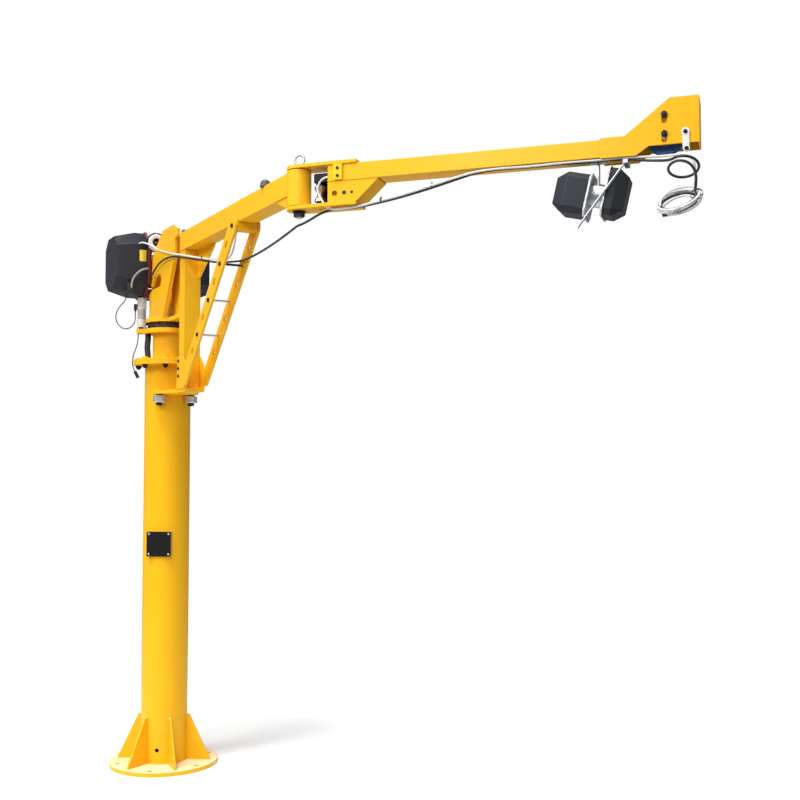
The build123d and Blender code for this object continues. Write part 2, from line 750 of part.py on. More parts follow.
# Bolts and spacer rods across the struts
strut_outer = strut_inner + STRUT_T
rod_points = [strut_top]
for k in range(2, strut_holes + 1, 2):
    reach = k * STRUT_PITCH
    rod_points.append((strut_top[0] - reach * strut_along[0], strut_top[1] - reach * strut_along[1]))
foot_bolt_x = POST_BACK + 0.22 * POST_DEPTH
foot_bolt_low = bracket_top + FOOT_BOLT_RISE
foot_bolt_points = [(foot_bolt_x, foot_bolt_low + k * FOOT_BOLT_PITCH) for k in range(FOOT_BOLT_COUNT)]
with BuildPart() as strut_bolts:
    with BuildSketch(side_plane(Plane.XY, 0)):
        with Locations(*rod_points):
            Circle(SPACER_D / 2)
    extrude(amount=strut_outer, both=True)
    for face in (-strut_outer, strut_outer + STRUT_HEAD_H):
        with BuildSketch(side_plane(Plane.XY, face)):
            with Locations(*rod_points):
                RegularPolygon(0.85 * SPACER_D, 6, major_radius=False)
        extrude(amount=STRUT_HEAD_H)
    for face in (-strut_inner, strut_inner + STRUT_HEAD_H):
        with BuildSketch(side_plane(Plane.XY, face)):
            with Locations(*foot_bolt_points):
                Circle(FOOT_BOLT_D / 2)
        extrude(amount=STRUT_HEAD_H)
keep(strut_bolts, "strut_bolts")

# Roller bracket: a forked plate that reaches round the front of the column
with BuildPart() as roller_bracket:
    with BuildSketch(Plane.XY.offset(bracket_top - BRACKET_T)):
        Polygon(
            (FOOT_FRONT, -strut_inner),
            (FOOT_FRONT, strut_inner),
            (POST_BACK, strut_inner),
            (roller_x + ROLLER_D / 2, BRACKET_HALF_W),
            (BRACKET_ARM_X, BRACKET_HALF_W),
            (BRACKET_ARM_X, -BRACKET_HALF_W),
            (roller_x + ROLLER_D / 2, -BRACKET_HALF_W),
            (POST_BACK, -strut_inner),
            align=None,
        )
        Circle(column_r + COLUMN_CLEARANCE, mode=Mode.SUBTRACT)
        with Locations((roller_x, -ROLLER_HALF_SPACING), (roller_x, ROLLER_HALF_SPACING)):
            Circle(ROLLER_PIN_D / 2 + BOLT_PLAY, mode=Mode.SUBTRACT)
    extrude(amount=BRACKET_T)
keep(roller_bracket, "roller_bracket")

roller_places = [(roller_x, -ROLLER_HALF_SPACING), (roller_x, ROLLER_HALF_SPACING)]
roller_foot = roller_top - ROLLER_H
pin_nut_h = 0.75 * ROLLER_PIN_D
with BuildPart() as roller_pins:
    pin_foot = roller_foot - ROLLER_NUT_GAP - pin_nut_h
    with BuildSketch(Plane.XY.offset(pin_foot)):
        with Locations(*roller_places):
            Circle(ROLLER_PIN_D / 2)
    extrude(amount=bracket_top - pin_foot)
    with BuildSketch(Plane.XY.offset(pin_foot)):
        with Locations(*roller_places):
            RegularPolygon(0.85 * ROLLER_PIN_D, 6, major_radius=False)
    extrude(amount=pin_nut_h)
    with BuildSketch(Plane.XY.offset(bracket_top)):
        with Locations(*roller_places):
            RegularPolygon(0.75 * ROLLER_PIN_D, 6, major_radius=False)
    extrude(amount=0.5 * ROLLER_PIN_D)
    with BuildSketch(Plane.XY.offset(roller_top + ROLLER_NUT_GAP)):
        with Locations(*roller_places):
            Circle(0.8 * ROLLER_PIN_D)
    extrude(amount=ROLLER_DROP - ROLLER_NUT_GAP)
keep(roller_pins, "roller_pins")

for name, place in zip(("roller_near", "roller_far"), roller_places):
    with BuildPart() as roller:
        with BuildSketch(Plane.XY.offset(roller_foot)):
            with Locations(place):
                Circle(ROLLER_D / 2)
                Circle(ROLLER_PIN_D / 2 + RUNNING_CLEARANCE, mode=Mode.SUBTRACT)
        extrude(amount=ROLLER_H)
        rims = roller.edges().filter_by(GeomType.CIRCLE).group_by(SortBy.RADIUS)[-1]
        chamfer(rims, length=ROLLER_CHAMFER)
    keep(roller, name)

# Elbow barrel with a bush at each end
bush_r = BARREL_BORE_D / 2
barrel_middle = INNER_REACH - (bush_r + BARREL_D / 2) / 2
with BuildPart() as elbow_barrel:
    with BuildSketch(Plane.XY.offset(barrel_foot)):
        with Locations((INNER_REACH, 0)):
            Circle(BARREL_D / 2)
            Circle(bush_r, mode=Mode.SUBTRACT)
    extrude(amount=barrel_top - barrel_foot)
    with BuildSketch(side_plane(Plane.XY, 0)):
        Polygon(
            (INNER_REACH - BARREL_D / 2 - BARREL_GUSSET_LEN, arm_foot),
            (barrel_middle, arm_foot),
            (barrel_middle, barrel_foot + BARREL_GUSSET_LIP),
            (INNER_REACH - BARREL_D / 2, barrel_foot + BARREL_GUSSET_LIP),
            align=None,
        )
    extrude(amount=arm_side - ARM_WALL, both=True)
keep(elbow_barrel, "elbow_barrel")

with BuildPart() as elbow_bushes:
    for face, way in ((barrel_foot, 1), (barrel_top, -1)):
        with BuildSketch(Plane.XY.offset(face)):
            with Locations((INNER_REACH, 0)):
                Circle(bush_r)
                Circle(ELBOW_PIN_D / 2 + RUNNING_CLEARANCE, mode=Mode.SUBTRACT)
        extrude(amount=way * BUSH_LEN)
        with BuildSketch(Plane.XY.offset(face)):
            with Locations((INNER_REACH, 0)):
                Circle(BARREL_D / 2 - BARREL_GUSSET_LIP)
                Circle(ELBOW_PIN_D / 2 + RUNNING_CLEARANCE, mode=Mode.SUBTRACT)
        extrude(amount=-way * BUSH_FLANGE_T)
keep(elbow_bushes, "elbow_bushes")

# Hoist frame: two plates tied by bars, a bottom pan, spacers against the head and the rope guide's plate
frame_depth = HOIST_DEPTH + HOIST_FRAME_T
frame_h = HOIST_H + HOIST_FRAME_T
frame_outline = octagon(frame_depth, frame_h, HOIST_CUT)
guide_z = hoist_z + GUIDE_RISE
guide_face = hoist_front + GUIDE_REACH
guide_half = 0.55 * GUIDE_RING_D
guide_cut = 0.6 * GUIDE_RING_BORE_D
nose_top = hoist_z + HOIST_H / 2 - HOIST_CUT / 2
nose_foot = hoist_z - HOIST_H / 2 + 0.8 * HOIST_CUT
frame_nose = [
    (HOIST_X, nose_top),
    (HOIST_X, nose_foot),
    (frame_front, nose_foot),
    (frame_front, guide_z - guide_half - GUIDE_RING_BORE_D / 2),
    (guide_face, guide_z - guide_half),
    (guide_face, guide_z + guide_half - guide_cut),
    (frame_front, nose_top),
]
tie_reach = DRUM_FLANGE_D / 2 + TIE_BAR_D
tie_turns = [radians(turn) for turn in (-60, 75, 225)]
tie_points = [(HOIST_X + tie_reach * cos(turn), hoist_z + tie_reach * sin(turn)) for turn in tie_turns]
spacer_x = -(HEAD_REAR - frame_front) / 2
spacer_points = [(spacer_x, arm_foot - TIE_BAR_D / 2), (spacer_x, arm_foot - 2.75 * TIE_BAR_D)]
pan_t = HOIST_FRAME_T / 2
pan_slope = pan_t * tan(pi / 8)
pan_back = HEAD_REAR + HOIST_X + frame_depth / 2 + 4
pan_outline = [
    (frame_depth / 2 - pan_back, HOIST_CUT - frame_h / 2 - pan_back),
    (frame_depth / 2 - HOIST_CUT, -frame_h / 2),
    (HOIST_CUT - frame_depth / 2, -frame_h / 2),
    (HOIST_CUT - frame_depth / 2, pan_t - frame_h / 2),
    (frame_depth / 2 - HOIST_CUT - pan_slope, pan_t - frame_h / 2),
    (frame_depth / 2 - pan_back - pan_t, HOIST_CUT - frame_h / 2 - pan_back + pan_slope),
]
with BuildPart() as hoist_frame:
    for face in (-HOIST_FRAME_FACE, frame_outer):
        with BuildSketch(side_plane(Plane.XY, face)):
            with Locations((HOIST_X, hoist_z)):
                Polygon(*frame_outline, align=None)
            Polygon(*frame_nose, align=None)
            with Locations((HOIST_X, hoist_z)):
                Circle(DRUM_SHAFT_D / 2 + RUNNING_CLEARANCE, mode=Mode.SUBTRACT)
        extrude(amount=HOIST_FRAME_T)
    with BuildSketch(side_plane(Plane.XY, 0)):
        with Locations(*tie_points):
            Circle(TIE_BAR_D / 2)
        with Locations((HOIST_X, hoist_z)):
            Polygon(*pan_outline, align=None)
    extrude(amount=HOIST_FRAME_FACE, both=True)
    for face in (-head_outer, HOIST_FRAME_FACE):
        with BuildSketch(side_plane(Plane.XY, face)):
            with Locations(*spacer_points):
                Circle(TIE_BAR_D / 2)
        extrude(amount=HOIST_FRAME_FACE - head_outer)
    with BuildSketch(cross_plane(Plane.XY, guide_face - GUIDE_PLATE_T)):
        with Locations((0, guide_z - guide_cut / 2)):
            Rectangle(2 * HOIST_FRAME_FACE, 2 * guide_half - guide_cut)
        with Locations((GUIDE_RING_Y, guide_z)):
            Circle(GUIDE_RING_BORE_D / 2, mode=Mode.SUBTRACT)
    extrude(amount=GUIDE_PLATE_T)
keep(hoist_frame, "hoist_frame")

# Rope guide eye on its plate
with BuildPart() as rope_guide:
    with BuildSketch(cross_plane(Plane.XY, guide_face)):
        with Locations((GUIDE_RING_Y, guide_z)):
            Circle(GUIDE_RING_D / 2)
            Circle(GUIDE_RING_BORE_D / 2, mode=Mode.SUBTRACT)
    extrude(amount=GUIDE_RING_T)
    ring_edges = rope_guide.faces().sort_by(Axis.X)[-1].edges()
    fillet(ring_edges, radius=0.15 * (GUIDE_RING_D - GUIDE_RING_BORE_D))
keep(rope_guide, "rope_guide")


def hoist_cover_sections(face, way, length, wall):
    """Sections of a faceted cover at its foot, where its taper starts and at its end, all in by a wall."""
    end_inset = HOIST_TAPER * (1 - wall / HOIST_TAPER_LEN)
    sections = []
    for reach, inset in ((0, 0), (length - HOIST_TAPER_LEN, 0), (length - wall, end_inset)):
        corners = octagon(HOIST_DEPTH, HOIST_H, HOIST_CUT - 0.6 * inset, inset + wall)
        with BuildSketch(side_plane(Plane.XY, face - way * reach)) as section:
            with Locations((HOIST_X, hoist_z)):
                Polygon(*corners, align=None)
        sections.append(section.sketch)
    return sections


# Hoist covers: hollow faceted shells with tapered outer ends
for name, face, way, length in (
    ("hoist_cover_near", -frame_outer, 1, HOIST_NEAR_LEN),
    ("hoist_cover_far", frame_outer, -1, HOIST_FAR_LEN),
):
    with BuildPart() as cover:
        for wall, mode in ((0, Mode.ADD), (HOIST_WALL, Mode.SUBTRACT)):
            sections = hoist_cover_sections(face, way, length, wall)
            loft(sections[:2], mode=mode)
            loft(sections[1:], mode=mode)
    keep(cover, name)

# Motor inside the near cover
with BuildPart() as hoist_motor:
    with BuildSketch(side_plane(Plane.XY, -frame_outer - DRUM_PLAY)):
        with Locations((HOIST_X, hoist_z)):
            Circle(MOTOR_D / 2)
            Circle(DRUM_SHAFT_D, mode=Mode.SUBTRACT)
    extrude(amount=MOTOR_LEN)
    with BuildSketch(side_plane(Plane.XY, -frame_outer)):
        with Locations((HOIST_X, hoist_z)):
            with PolarLocations(0.42 * MOTOR_D, 4, start_angle=45):
                Circle(TIE_BAR_D / 4)
    extrude(amount=DRUM_PLAY)
keep(hoist_motor, "hoist_motor")

# Rope drum on its shaft
drum_half = HOIST_FRAME_FACE - DRUM_PLAY
with BuildPart() as hoist_drum:
    with BuildSketch(side_plane(Plane.XY, 0)):
        with Locations((HOIST_X, hoist_z)):
            Circle(DRUM_D / 2)
    extrude(amount=drum_half, both=True)
    for face in (-drum_half + DRUM_FLANGE_T, drum_half):
        with BuildSketch(side_plane(Plane.XY, face)):
            with Locations((HOIST_X, hoist_z)):
                Circle(DRUM_FLANGE_D / 2)
        extrude(amount=DRUM_FLANGE_T)
    with BuildSketch(side_plane(Plane.XY, 0)):
        with Locations((HOIST_X, hoist_z)):
            Circle(DRUM_SHAFT_D / 2)
    extrude(amount=frame_outer + 2 * DRUM_PLAY, both=True)
keep(hoist_drum, "hoist_drum")

# Supply coupling that hangs under the hoist frame, its side plug, and a gland block on the near cover
coupling_x = HOIST_X + COUPLING_SETBACK
coupling_y = -(HOIST_FRAME_FACE + HOIST_FRAME_T / 2)
coupling_top = hoist_z - frame_h / 2
side_plug_y = coupling_y - (COUPLING_D + PLUG_D) / 2 - DRUM_PLAY
side_plug_z = coupling_top - 0.38 * COUPLING_LEN
cover_low = hoist_z - HOIST_H / 2
gland_z = cover_low + HOIST_CUT / 4
gland_x = hoist_front + CONDUIT_D
gland_y = -frame_outer - GLAND_OFFSET
with BuildPart() as hoist_glands:
    with BuildSketch(Plane.XY.offset(coupling_top)):
        with Locations((coupling_x, coupling_y)):
            Circle(COUPLING_D / 2)
    extrude(amount=-0.35 * COUPLING_LEN)
    with BuildSketch(Plane.XY.offset(coupling_top - 0.35 * COUPLING_LEN)):
        with Locations((coupling_x, coupling_y)):
            Circle(0.46 * COUPLING_D)
    extrude(amount=-0.3 * COUPLING_LEN)
    with BuildSketch(Plane.XY.offset(coupling_top - 0.65 * COUPLING_LEN)):
        with Locations((coupling_x, coupling_y)):
            Circle(COUPLING_D / 2)
    extrude(amount=-0.35 * COUPLING_LEN)
    with BuildSketch(Plane.XY.offset(side_plug_z)):
        with Locations((coupling_x, side_plug_y)):
            Circle(PLUG_D / 2)
    extrude(amount=0.7 * PLUG_LEN)
    with BuildSketch(Plane.XY.offset(side_plug_z + 0.5 * PLUG_LEN)):
        with Locations((coupling_x, (side_plug_y + coupling_y) / 2)):
            Rectangle(PLUG_D / 2, coupling_y - side_plug_y)
    extrude(amount=0.2 * PLUG_LEN)
    with BuildSketch(side_plane(Plane.XY, gland_y + GLAND_W / 2)):
        Polygon(
            (hoist_front - HOIST_CUT / 3, cover_low + HOIST_CUT),
            (hoist_front - HOIST_CUT, cover_low + HOIST_CUT / 3),
            (hoist_front - HOIST_CUT / 2, cover_low - GLAND_LIP),
            (gland_x + CONDUIT_D, cover_low - GLAND_LIP),
            (gland_x + CONDUIT_D, gland_z),
            (hoist_front - GLAND_LIP, gland_z),
            align=None,
        )
    extrude(amount=GLAND_W)
    cover_sections = hoist_cover_sections(-frame_outer, 1, HOIST_NEAR_LEN, 0)
    loft(cover_sections[:2], mode=Mode.SUBTRACT)
    loft(cover_sections[1:], mode=Mode.SUBTRACT)
keep(hoist_glands, "hoist_glands")

# Elbow pin with a stud at each end
stud_below = ELBOW_NUT_H + 3
stud_above = 0.45 * EYE_COLLAR_H
with BuildPart() as elbow_pin:
    with BuildSketch(ELBOW.offset(fork_foot - FORK_PLATE_T)):
        Circle(ELBOW_PIN_D / 2)
    extrude(amount=FORK_INNER_H + 2 * FORK_PLATE_T)
    with BuildSketch(ELBOW.offset(fork_foot - FORK_PLATE_T - stud_below)):
        Circle(ELBOW_STUD_D / 2)
    extrude(amount=FORK_INNER_H + 2 * FORK_PLATE_T + stud_below + stud_above)
keep(elbow_pin, "elbow_pin")

with BuildPart() as elbow_nut:
    with BuildSketch(ELBOW.offset(fork_foot - FORK_PLATE_T - ELBOW_NUT_H)):
        RegularPolygon(ELBOW_NUT_AF / 2, 6, major_radius=False)
        Circle(ELBOW_STUD_D / 2 + RUNNING_CLEARANCE, mode=Mode.SUBTRACT)
    extrude(amount=ELBOW_NUT_H)
keep(elbow_nut, "elbow_nut")

eye_foot = fork_top + FORK_PLATE_T
eye_r = EYE_RING_D / 2 - EYE_WIRE_D / 2
eye_centre = eye_foot + EYE_COLLAR_H + eye_r
with BuildPart() as lifting_eye:
    with BuildSketch(ELBOW.offset(eye_foot)):
        Circle(EYE_COLLAR_D / 2)
    extrude(amount=EYE_COLLAR_H)
    with BuildSketch(ELBOW.offset(eye_centre)):
        with Locations((eye_r, 0)):
            Circle(EYE_WIRE_D / 2)
    eye_axis = Axis(origin=outer_point(0, 0, eye_centre), direction=tuple(ELBOW.y_dir))
    revolve(axis=eye_axis)
    with BuildSketch(ELBOW.offset(eye_foot)):
        Circle(ELBOW_STUD_D / 2 + RUNNING_CLEARANCE)
    extrude(amount=stud_above, mode=Mode.SUBTRACT)
keep(lifting_eye, "lifting_eye")

# Fork plates with round noses about the pin
fork_nose_r = BARREL_D / 2 + DRUM_PLAY
with BuildPart() as fork_plates:
    for foot in (fork_top, fork_foot - FORK_PLATE_T):
        with BuildSketch(ELBOW.offset(foot)):
            Circle(fork_nose_r)
            Polygon(
                (0, -fork_nose_r),
                (FORK_SIDE_START, -fork_outer),
                (FORK_LEN, -fork_outer),
                (FORK_LEN, fork_outer),
                (FORK_SIDE_START, fork_outer),
                (0, fork_nose_r),
                align=None,
            )
            Circle(ELBOW_PIN_D / 2 + RUNNING_CLEARANCE, mode=Mode.SUBTRACT)
            if foot < fork_foot:
                with Locations((FORK_SLOT_X, FORK_SLOT_Y)):
                    SlotOverall(FORK_SLOT_LEN, FORK_SLOT_W, mode=Mode.SUBTRACT)
                with Locations((GUIDE_PULLEY_X, 0)):
                    Circle(GUIDE_BOLT_D / 2 + BOLT_PLAY, mode=Mode.SUBTRACT)
        extrude(amount=FORK_PLATE_T)
keep(fork_plates, "fork_plates")

# Fork side plates under the outer arm, with three holes each, and the sloping plate that closes them below
side_outline = [
    (FORK_SIDE_START, fork_foot),
    (FORK_LEN, fork_foot),
    (FORK_SIDE_END, fork_foot + FORK_SIDE_END_RISE),
    (FORK_SIDE_END, outer_foot),
    (FORK_SIDE_START, outer_foot),
]
side_holes = ((158.0, 20.0), (195.0, 15.0), (224.0, 11.0))
side_hole_rise = 33.0
slope_turn = atan2(FORK_SIDE_END_RISE, FORK_SIDE_END - FORK_LEN)
slope_step = (-FORK_SIDE_T * sin(slope_turn), FORK_SIDE_T * cos(slope_turn))
with BuildPart() as fork_sides:
    for face in (-outer_side + FORK_SIDE_T, outer_side):
        with BuildSketch(side_plane(ELBOW, face)):
            Polygon(*side_outline, align=None)
            for x, hole_d in side_holes:
                with Locations((x, fork_foot + side_hole_rise)):
                    Circle(hole_d / 2, mode=Mode.SUBTRACT)
        extrude(amount=FORK_SIDE_T)
    with BuildSketch(side_plane(ELBOW, 0)):
        Polygon(
            (FORK_LEN, fork_foot),
            (FORK_SIDE_END, fork_foot + FORK_SIDE_END_RISE),
            (FORK_SIDE_END + slope_step[0], fork_foot + FORK_SIDE_END_RISE + slope_step[1]),
            (FORK_LEN + slope_step[0], fork_foot + slope_step[1]),
            align=None,
        )
    extrude(amount=outer_side, both=True)
keep(fork_sides, "fork_sides")

# Bolted block on the near side of the outer arm, at the fork
block_mid = fork_top - OUTER_H / 2
with BuildPart() as stop_block:
    with BuildSketch(side_plane(ELBOW, -outer_side)):
        with Locations((STOP_BLOCK_X, block_mid)):
            RectangleRounded(STOP_BLOCK_W, STOP_BLOCK_H, STOP_BLOCK_CORNER)
    extrude(amount=STOP_BLOCK_T)
keep(stop_block, "stop_block")

# Rope guide in the fork: a pulley on its bolt, under a bracket with a shield on the end of the outer arm
pulley_foot = fork_foot + GUIDE_PULLEY_RISE
pulley_top = pulley_foot + GUIDE_PULLEY_H
guide_bolt_top = pulley_top + GUIDE_GAP + GUIDE_BOLT_HEAD_H
guide_bracket_foot = guide_bolt_top + 3 * GUIDE_GAP
guide_bracket_top = fork_top - GUIDE_BRACKET_DROP
shield_len = FORK_SIDE_START - GUIDE_SHIELD_X
shield_mid = (FORK_SIDE_START + GUIDE_SHIELD_X) / 2
shield_foot = fork_foot + GUIDE_SHIELD_GAP
with BuildPart() as guide_bracket:
    with BuildSketch(ELBOW.offset(fork_foot - FORK_PLATE_T)):
        with Locations((GUIDE_PULLEY_X, 0)):
            Circle(GUIDE_BOLT_D / 2)
    extrude(amount=guide_bolt_top - GUIDE_GAP - fork_foot + FORK_PLATE_T)
    with BuildSketch(ELBOW.offset(fork_foot)):
        with Locations((GUIDE_PULLEY_X, 0)):
            Circle(GUIDE_BOLT_D)
    extrude(amount=GUIDE_PULLEY_RISE - GUIDE_GAP)
    with BuildSketch(ELBOW.offset(pulley_top + GUIDE_GAP)):
        with Locations((GUIDE_PULLEY_X, 0)):
            RegularPolygon(0.8 * GUIDE_BOLT_D, 6, major_radius=False)
    extrude(amount=GUIDE_BOLT_HEAD_H)
    with BuildSketch(side_plane(ELBOW, 0)):
        Polygon(
            (FORK_SIDE_START, outer_foot + OUTER_WALL / 2),
            (FORK_SIDE_START, guide_bracket_top),
            (GUIDE_PULLEY_X - GUIDE_BRACKET_REACH, guide_bracket_top),
            (GUIDE_PULLEY_X - GUIDE_BRACKET_REACH, guide_bracket_foot),
            (FORK_SIDE_START - GUIDE_BOLT_HEAD_H, guide_bracket_foot),
            align=None,
        )
    extrude(amount=GUIDE_BRACKET_W / 2, both=True)
    with BuildSketch(ELBOW.offset(guide_bracket_foot)):
        with Locations((shield_mid, GUIDE_SHIELD_Y / 2)):
            Rectangle(shield_len, GUIDE_SHIELD_Y)
    extrude(amount=GUIDE_SHIELD_T)
    with BuildSketch(side_plane(ELBOW, GUIDE_SHIELD_Y)):
        with Locations((shield_mid, (shield_foot + guide_bracket_foot + GUIDE_SHIELD_T) / 2)):
            Rectangle(shield_len, guide_bracket_foot + GUIDE_SHIELD_T - shield_foot)
    extrude(amount=GUIDE_SHIELD_T)
keep(guide_bracket, "guide_bracket")

with BuildPart() as guide_pulley:
    bore = GUIDE_BOLT_D / 2 + RUNNING_CLEARANCE
    rim = GUIDE_PULLEY_D / 2
    waist = 0.62 * rim
    with BuildSketch(side_plane(ELBOW, 0)):
        with Locations((GUIDE_PULLEY_X, 0)):
            Polygon(
                (bore, pulley_foot),
                (rim, pulley_foot),
                (rim, pulley_foot + 0.18 * GUIDE_PULLEY_H),
                (waist, pulley_foot + 0.38 * GUIDE_PULLEY_H),
                (waist, pulley_foot + 0.62 * GUIDE_PULLEY_H),
                (rim, pulley_foot + 0.82 * GUIDE_PULLEY_H),
                (rim, pulley_top),
                (bore, pulley_top),
                align=None,
            )
    revolve(axis=Axis(origin=outer_point(GUIDE_PULLEY_X, 0, 0), direction=(0, 0, 1)))
keep(guide_pulley, "guide_pulley")

# Outer arm, a flat box section
with BuildPart() as outer_arm_box:
    with BuildSketch(cross_plane(ELBOW, FORK_SIDE_START)):
        with Locations((0, outer_foot + OUTER_H / 2)):
            Rectangle(OUTER_W, OUTER_H)
            Rectangle(OUTER_W - 2 * OUTER_WALL, OUTER_H - 2 * OUTER_WALL, mode=Mode.SUBTRACT)
    extrude(amount=OUTER_END - FORK_SIDE_START)
keep(outer_arm_box, "outer_arm_box")

# Tip head: two slotted side plates with a sloping cover, a top and an end plate between them
tip_crown = fork_top + TIP_RISE
tip_foot = outer_foot + TIP_BELLY
slope_foot = fork_top + TIP_LIP
tip_outline = [
    (TIP_START, outer_foot - TIP_LIP),
    (OUTER_END, outer_foot - TIP_LIP),
    (OUTER_END + TIP_BELLY_LEN, tip_foot),
    (TIP_REACH, tip_foot),
    (TIP_REACH, tip_crown),
    (TIP_TOP_START, tip_crown),
    (TIP_SLOPE_START, slope_foot),
    (TIP_START, slope_foot),
]
sheave_z = fork_top
tip_holes = ((SHEAVE_X, sheave_z), (SHEAVE_X, sheave_z + TIP_BOLT_RISE))
tip_slot_w = SHEAVE_PIN_D + 2 * BOLT_PLAY
tip_slots = [(along, height - (TIP_SLOT_LEN - tip_slot_w) / 2) for along, height in tip_holes]
tip_slope = atan2(tip_crown - slope_foot, TIP_TOP_START - TIP_SLOPE_START)
cap_drop = TIP_CAP_T / cos(tip_slope)
with BuildPart() as tip_head:
    for face in (-outer_side, tip_outer):
        with BuildSketch(side_plane(ELBOW, face)):
            Polygon(*tip_outline, align=None)
            with Locations(*tip_slots):
                SlotOverall(TIP_SLOT_LEN, tip_slot_w, rotation=90, mode=Mode.SUBTRACT)
        extrude(amount=TIP_PLATE_T)
    with BuildSketch(side_plane(ELBOW, 0)):
        Polygon(
            (TIP_SLOPE_START + cap_drop, slope_foot + cap_drop * tan(tip_slope)),
            (TIP_TOP_START, tip_crown),
            (TIP_REACH, tip_crown),
            (TIP_REACH, tip_foot),
            (TIP_REACH - TIP_CAP_T, tip_foot),
            (TIP_REACH - TIP_CAP_T, tip_crown - TIP_CAP_T),
            (TIP_TOP_START + TIP_CAP_T * tan(tip_slope / 2), tip_crown - TIP_CAP_T),
            (TIP_SLOPE_START + cap_drop, slope_foot + cap_drop * (tan(tip_slope) - 1)),
            align=None,
        )
    extrude(amount=outer_side, both=True)
keep(tip_head, "tip_head")

# Sheave pin and tie bolt through the tip plates, with spacer sleeves each side of the sheave
with BuildPart() as tip_bolts:
    with BuildSketch(side_plane(ELBOW, 0)):
        with Locations((SHEAVE_X, sheave_z)):
            Circle(SHEAVE_PIN_D / 2)
    extrude(amount=tip_outer, both=True)
    for face in (-SHEAVE_W / 2 - SHEAVE_PLAY, outer_side):
        with BuildSketch(side_plane(ELBOW, face)):
            with Locations((SHEAVE_X, sheave_z)):
                Circle(0.9 * SHEAVE_PIN_D)
        extrude(amount=outer_side - SHEAVE_W / 2 - SHEAVE_PLAY)
    for face in (-outer_side, tip_outer):
        with BuildSketch(side_plane(ELBOW, face)):
            with Locations((SHEAVE_X, sheave_z + TIP_BOLT_RISE)):
                Circle(SHEAVE_PIN_D / 2)
        extrude(amount=TIP_PLATE_T)
    for face in (-tip_outer, tip_outer + TIP_BOLT_HEAD_H):
        with BuildSketch(side_plane(ELBOW, face)):
            with Locations(*tip_holes):
                RegularPolygon(TIP_BOLT_AF / 2, 6, major_radius=False)
        extrude(amount=TIP_BOLT_HEAD_H)
keep(tip_bolts, "tip_bolts")

# Grooved sheave
groove_r = SHEAVE_D / 2 - SHEAVE_ROPE_D
sheave_axis = Axis(origin=outer_point(SHEAVE_X, 0, sheave_z), direction=tuple(ELBOW.y_dir))
with BuildPart() as tip_sheave:
    with BuildSketch(cross_plane(ELBOW, SHEAVE_X)):
        with Locations((0, sheave_z)):
            Polygon(
                (-SHEAVE_W / 2, SHEAVE_PIN_D / 2 + RUNNING_CLEARANCE),
                (SHEAVE_W / 2, SHEAVE_PIN_D / 2 + RUNNING_CLEARANCE),
                (SHEAVE_W / 2, SHEAVE_D / 2),
                (SHEAVE_W / 2 - SHEAVE_RIM, SHEAVE_D / 2),
                (SHEAVE_ROPE_D / 2, groove_r),
                (-SHEAVE_ROPE_D / 2, groove_r),
                (-SHEAVE_W / 2 + SHEAVE_RIM, SHEAVE_D / 2),
                (-SHEAVE_W / 2, SHEAVE_D / 2),
                align=None,
            )
    revolve(axis=sheave_axis)
keep(tip_sheave, "tip_sheave")

# Hanger strap on the near tip plate, with a bolt at each end
hanger_low = (HANGER_X + HANGER_LEAN, sheave_z - HANGER_LEN)
with BuildPart() as tip_hanger:
    with BuildSketch(side_plane(ELBOW, -tip_outer)):
        with Locations((HANGER_X, sheave_z)):
            Circle(HANGER_EYE_W / 2)
        with Locations((HANGER_X + HANGER_LEAN / 2, sheave_z - HANGER_LEN / 2)):
            Rectangle(HANGER_W, HANGER_LEN)
        with Locations(hanger_low):
            Circle(HANGER_W / 2)
    extrude(amount=HANGER_T)
keep(tip_hanger, "tip_hanger")

with BuildPart() as arm_bolts:
    with BuildSketch(side_plane(ELBOW, -outer_side - STOP_BLOCK_T)):
        with Locations((STOP_BLOCK_X, block_mid)):
            with GridLocations(0, STOP_BOLT_PITCH, 1, 2):
                RegularPolygon(STOP_BOLT_AF / 2, 6, major_radius=False)
    extrude(amount=STOP_BOLT_H)
    with BuildSketch(side_plane(ELBOW, -tip_outer - HANGER_T)):
        with Locations((HANGER_X, sheave_z), hanger_low):
            Circle(HANGER_BOLT_D / 2)
    extrude(amount=HANGER_BOLT_H)
keep(arm_bolts, "arm_bolts")

# Twin-cover unit under the outer arm, tilted along it
unit_tilt = radians(UNIT_TILT)
unit_z = outer_foot - UNIT_DROP
unit_along = ELBOW.x_dir * cos(unit_tilt) - ELBOW.z_dir * sin(unit_tilt)
UNIT = Plane(origin=outer_point(UNIT_X, 0, unit_z), x_dir=tuple(ELBOW.y_dir), z_dir=tuple(unit_along))
unit_sides = (
    (-1, UNIT_LEFT_LEN, UNIT_LEFT_H, UNIT_LEFT_LIFT),
    (1, UNIT_RIGHT_LEN, UNIT_H, UNIT_RIGHT_LIFT),
)
with BuildPart() as unit_covers:
    for way, length, height, lift in unit_sides:
        end = UNIT_GAP / 2 + length
        for wall, mode in ((0, Mode.ADD), (UNIT_WALL, Mode.SUBTRACT)):
            end_inset = UNIT_TAPER * (1 - wall / UNIT_TAPER_LEN)
            rings = []
            for reach, inset in ((UNIT_GAP / 2, 0), (end - UNIT_TAPER_LEN, 0), (end - wall, end_inset)):
                corners = octagon(UNIT_DEPTH, height, UNIT_CUT - 0.6 * inset, inset + wall)
                with BuildSketch(UNIT.offset(way * reach)) as ring:
                    with Locations((0, lift)):
                        Polygon(*corners, align=None)
                rings.append(ring.sketch)
            loft(rings[:2], mode=mode)
            loft(rings[1:], mode=mode)
keep(unit_covers, "unit_covers")

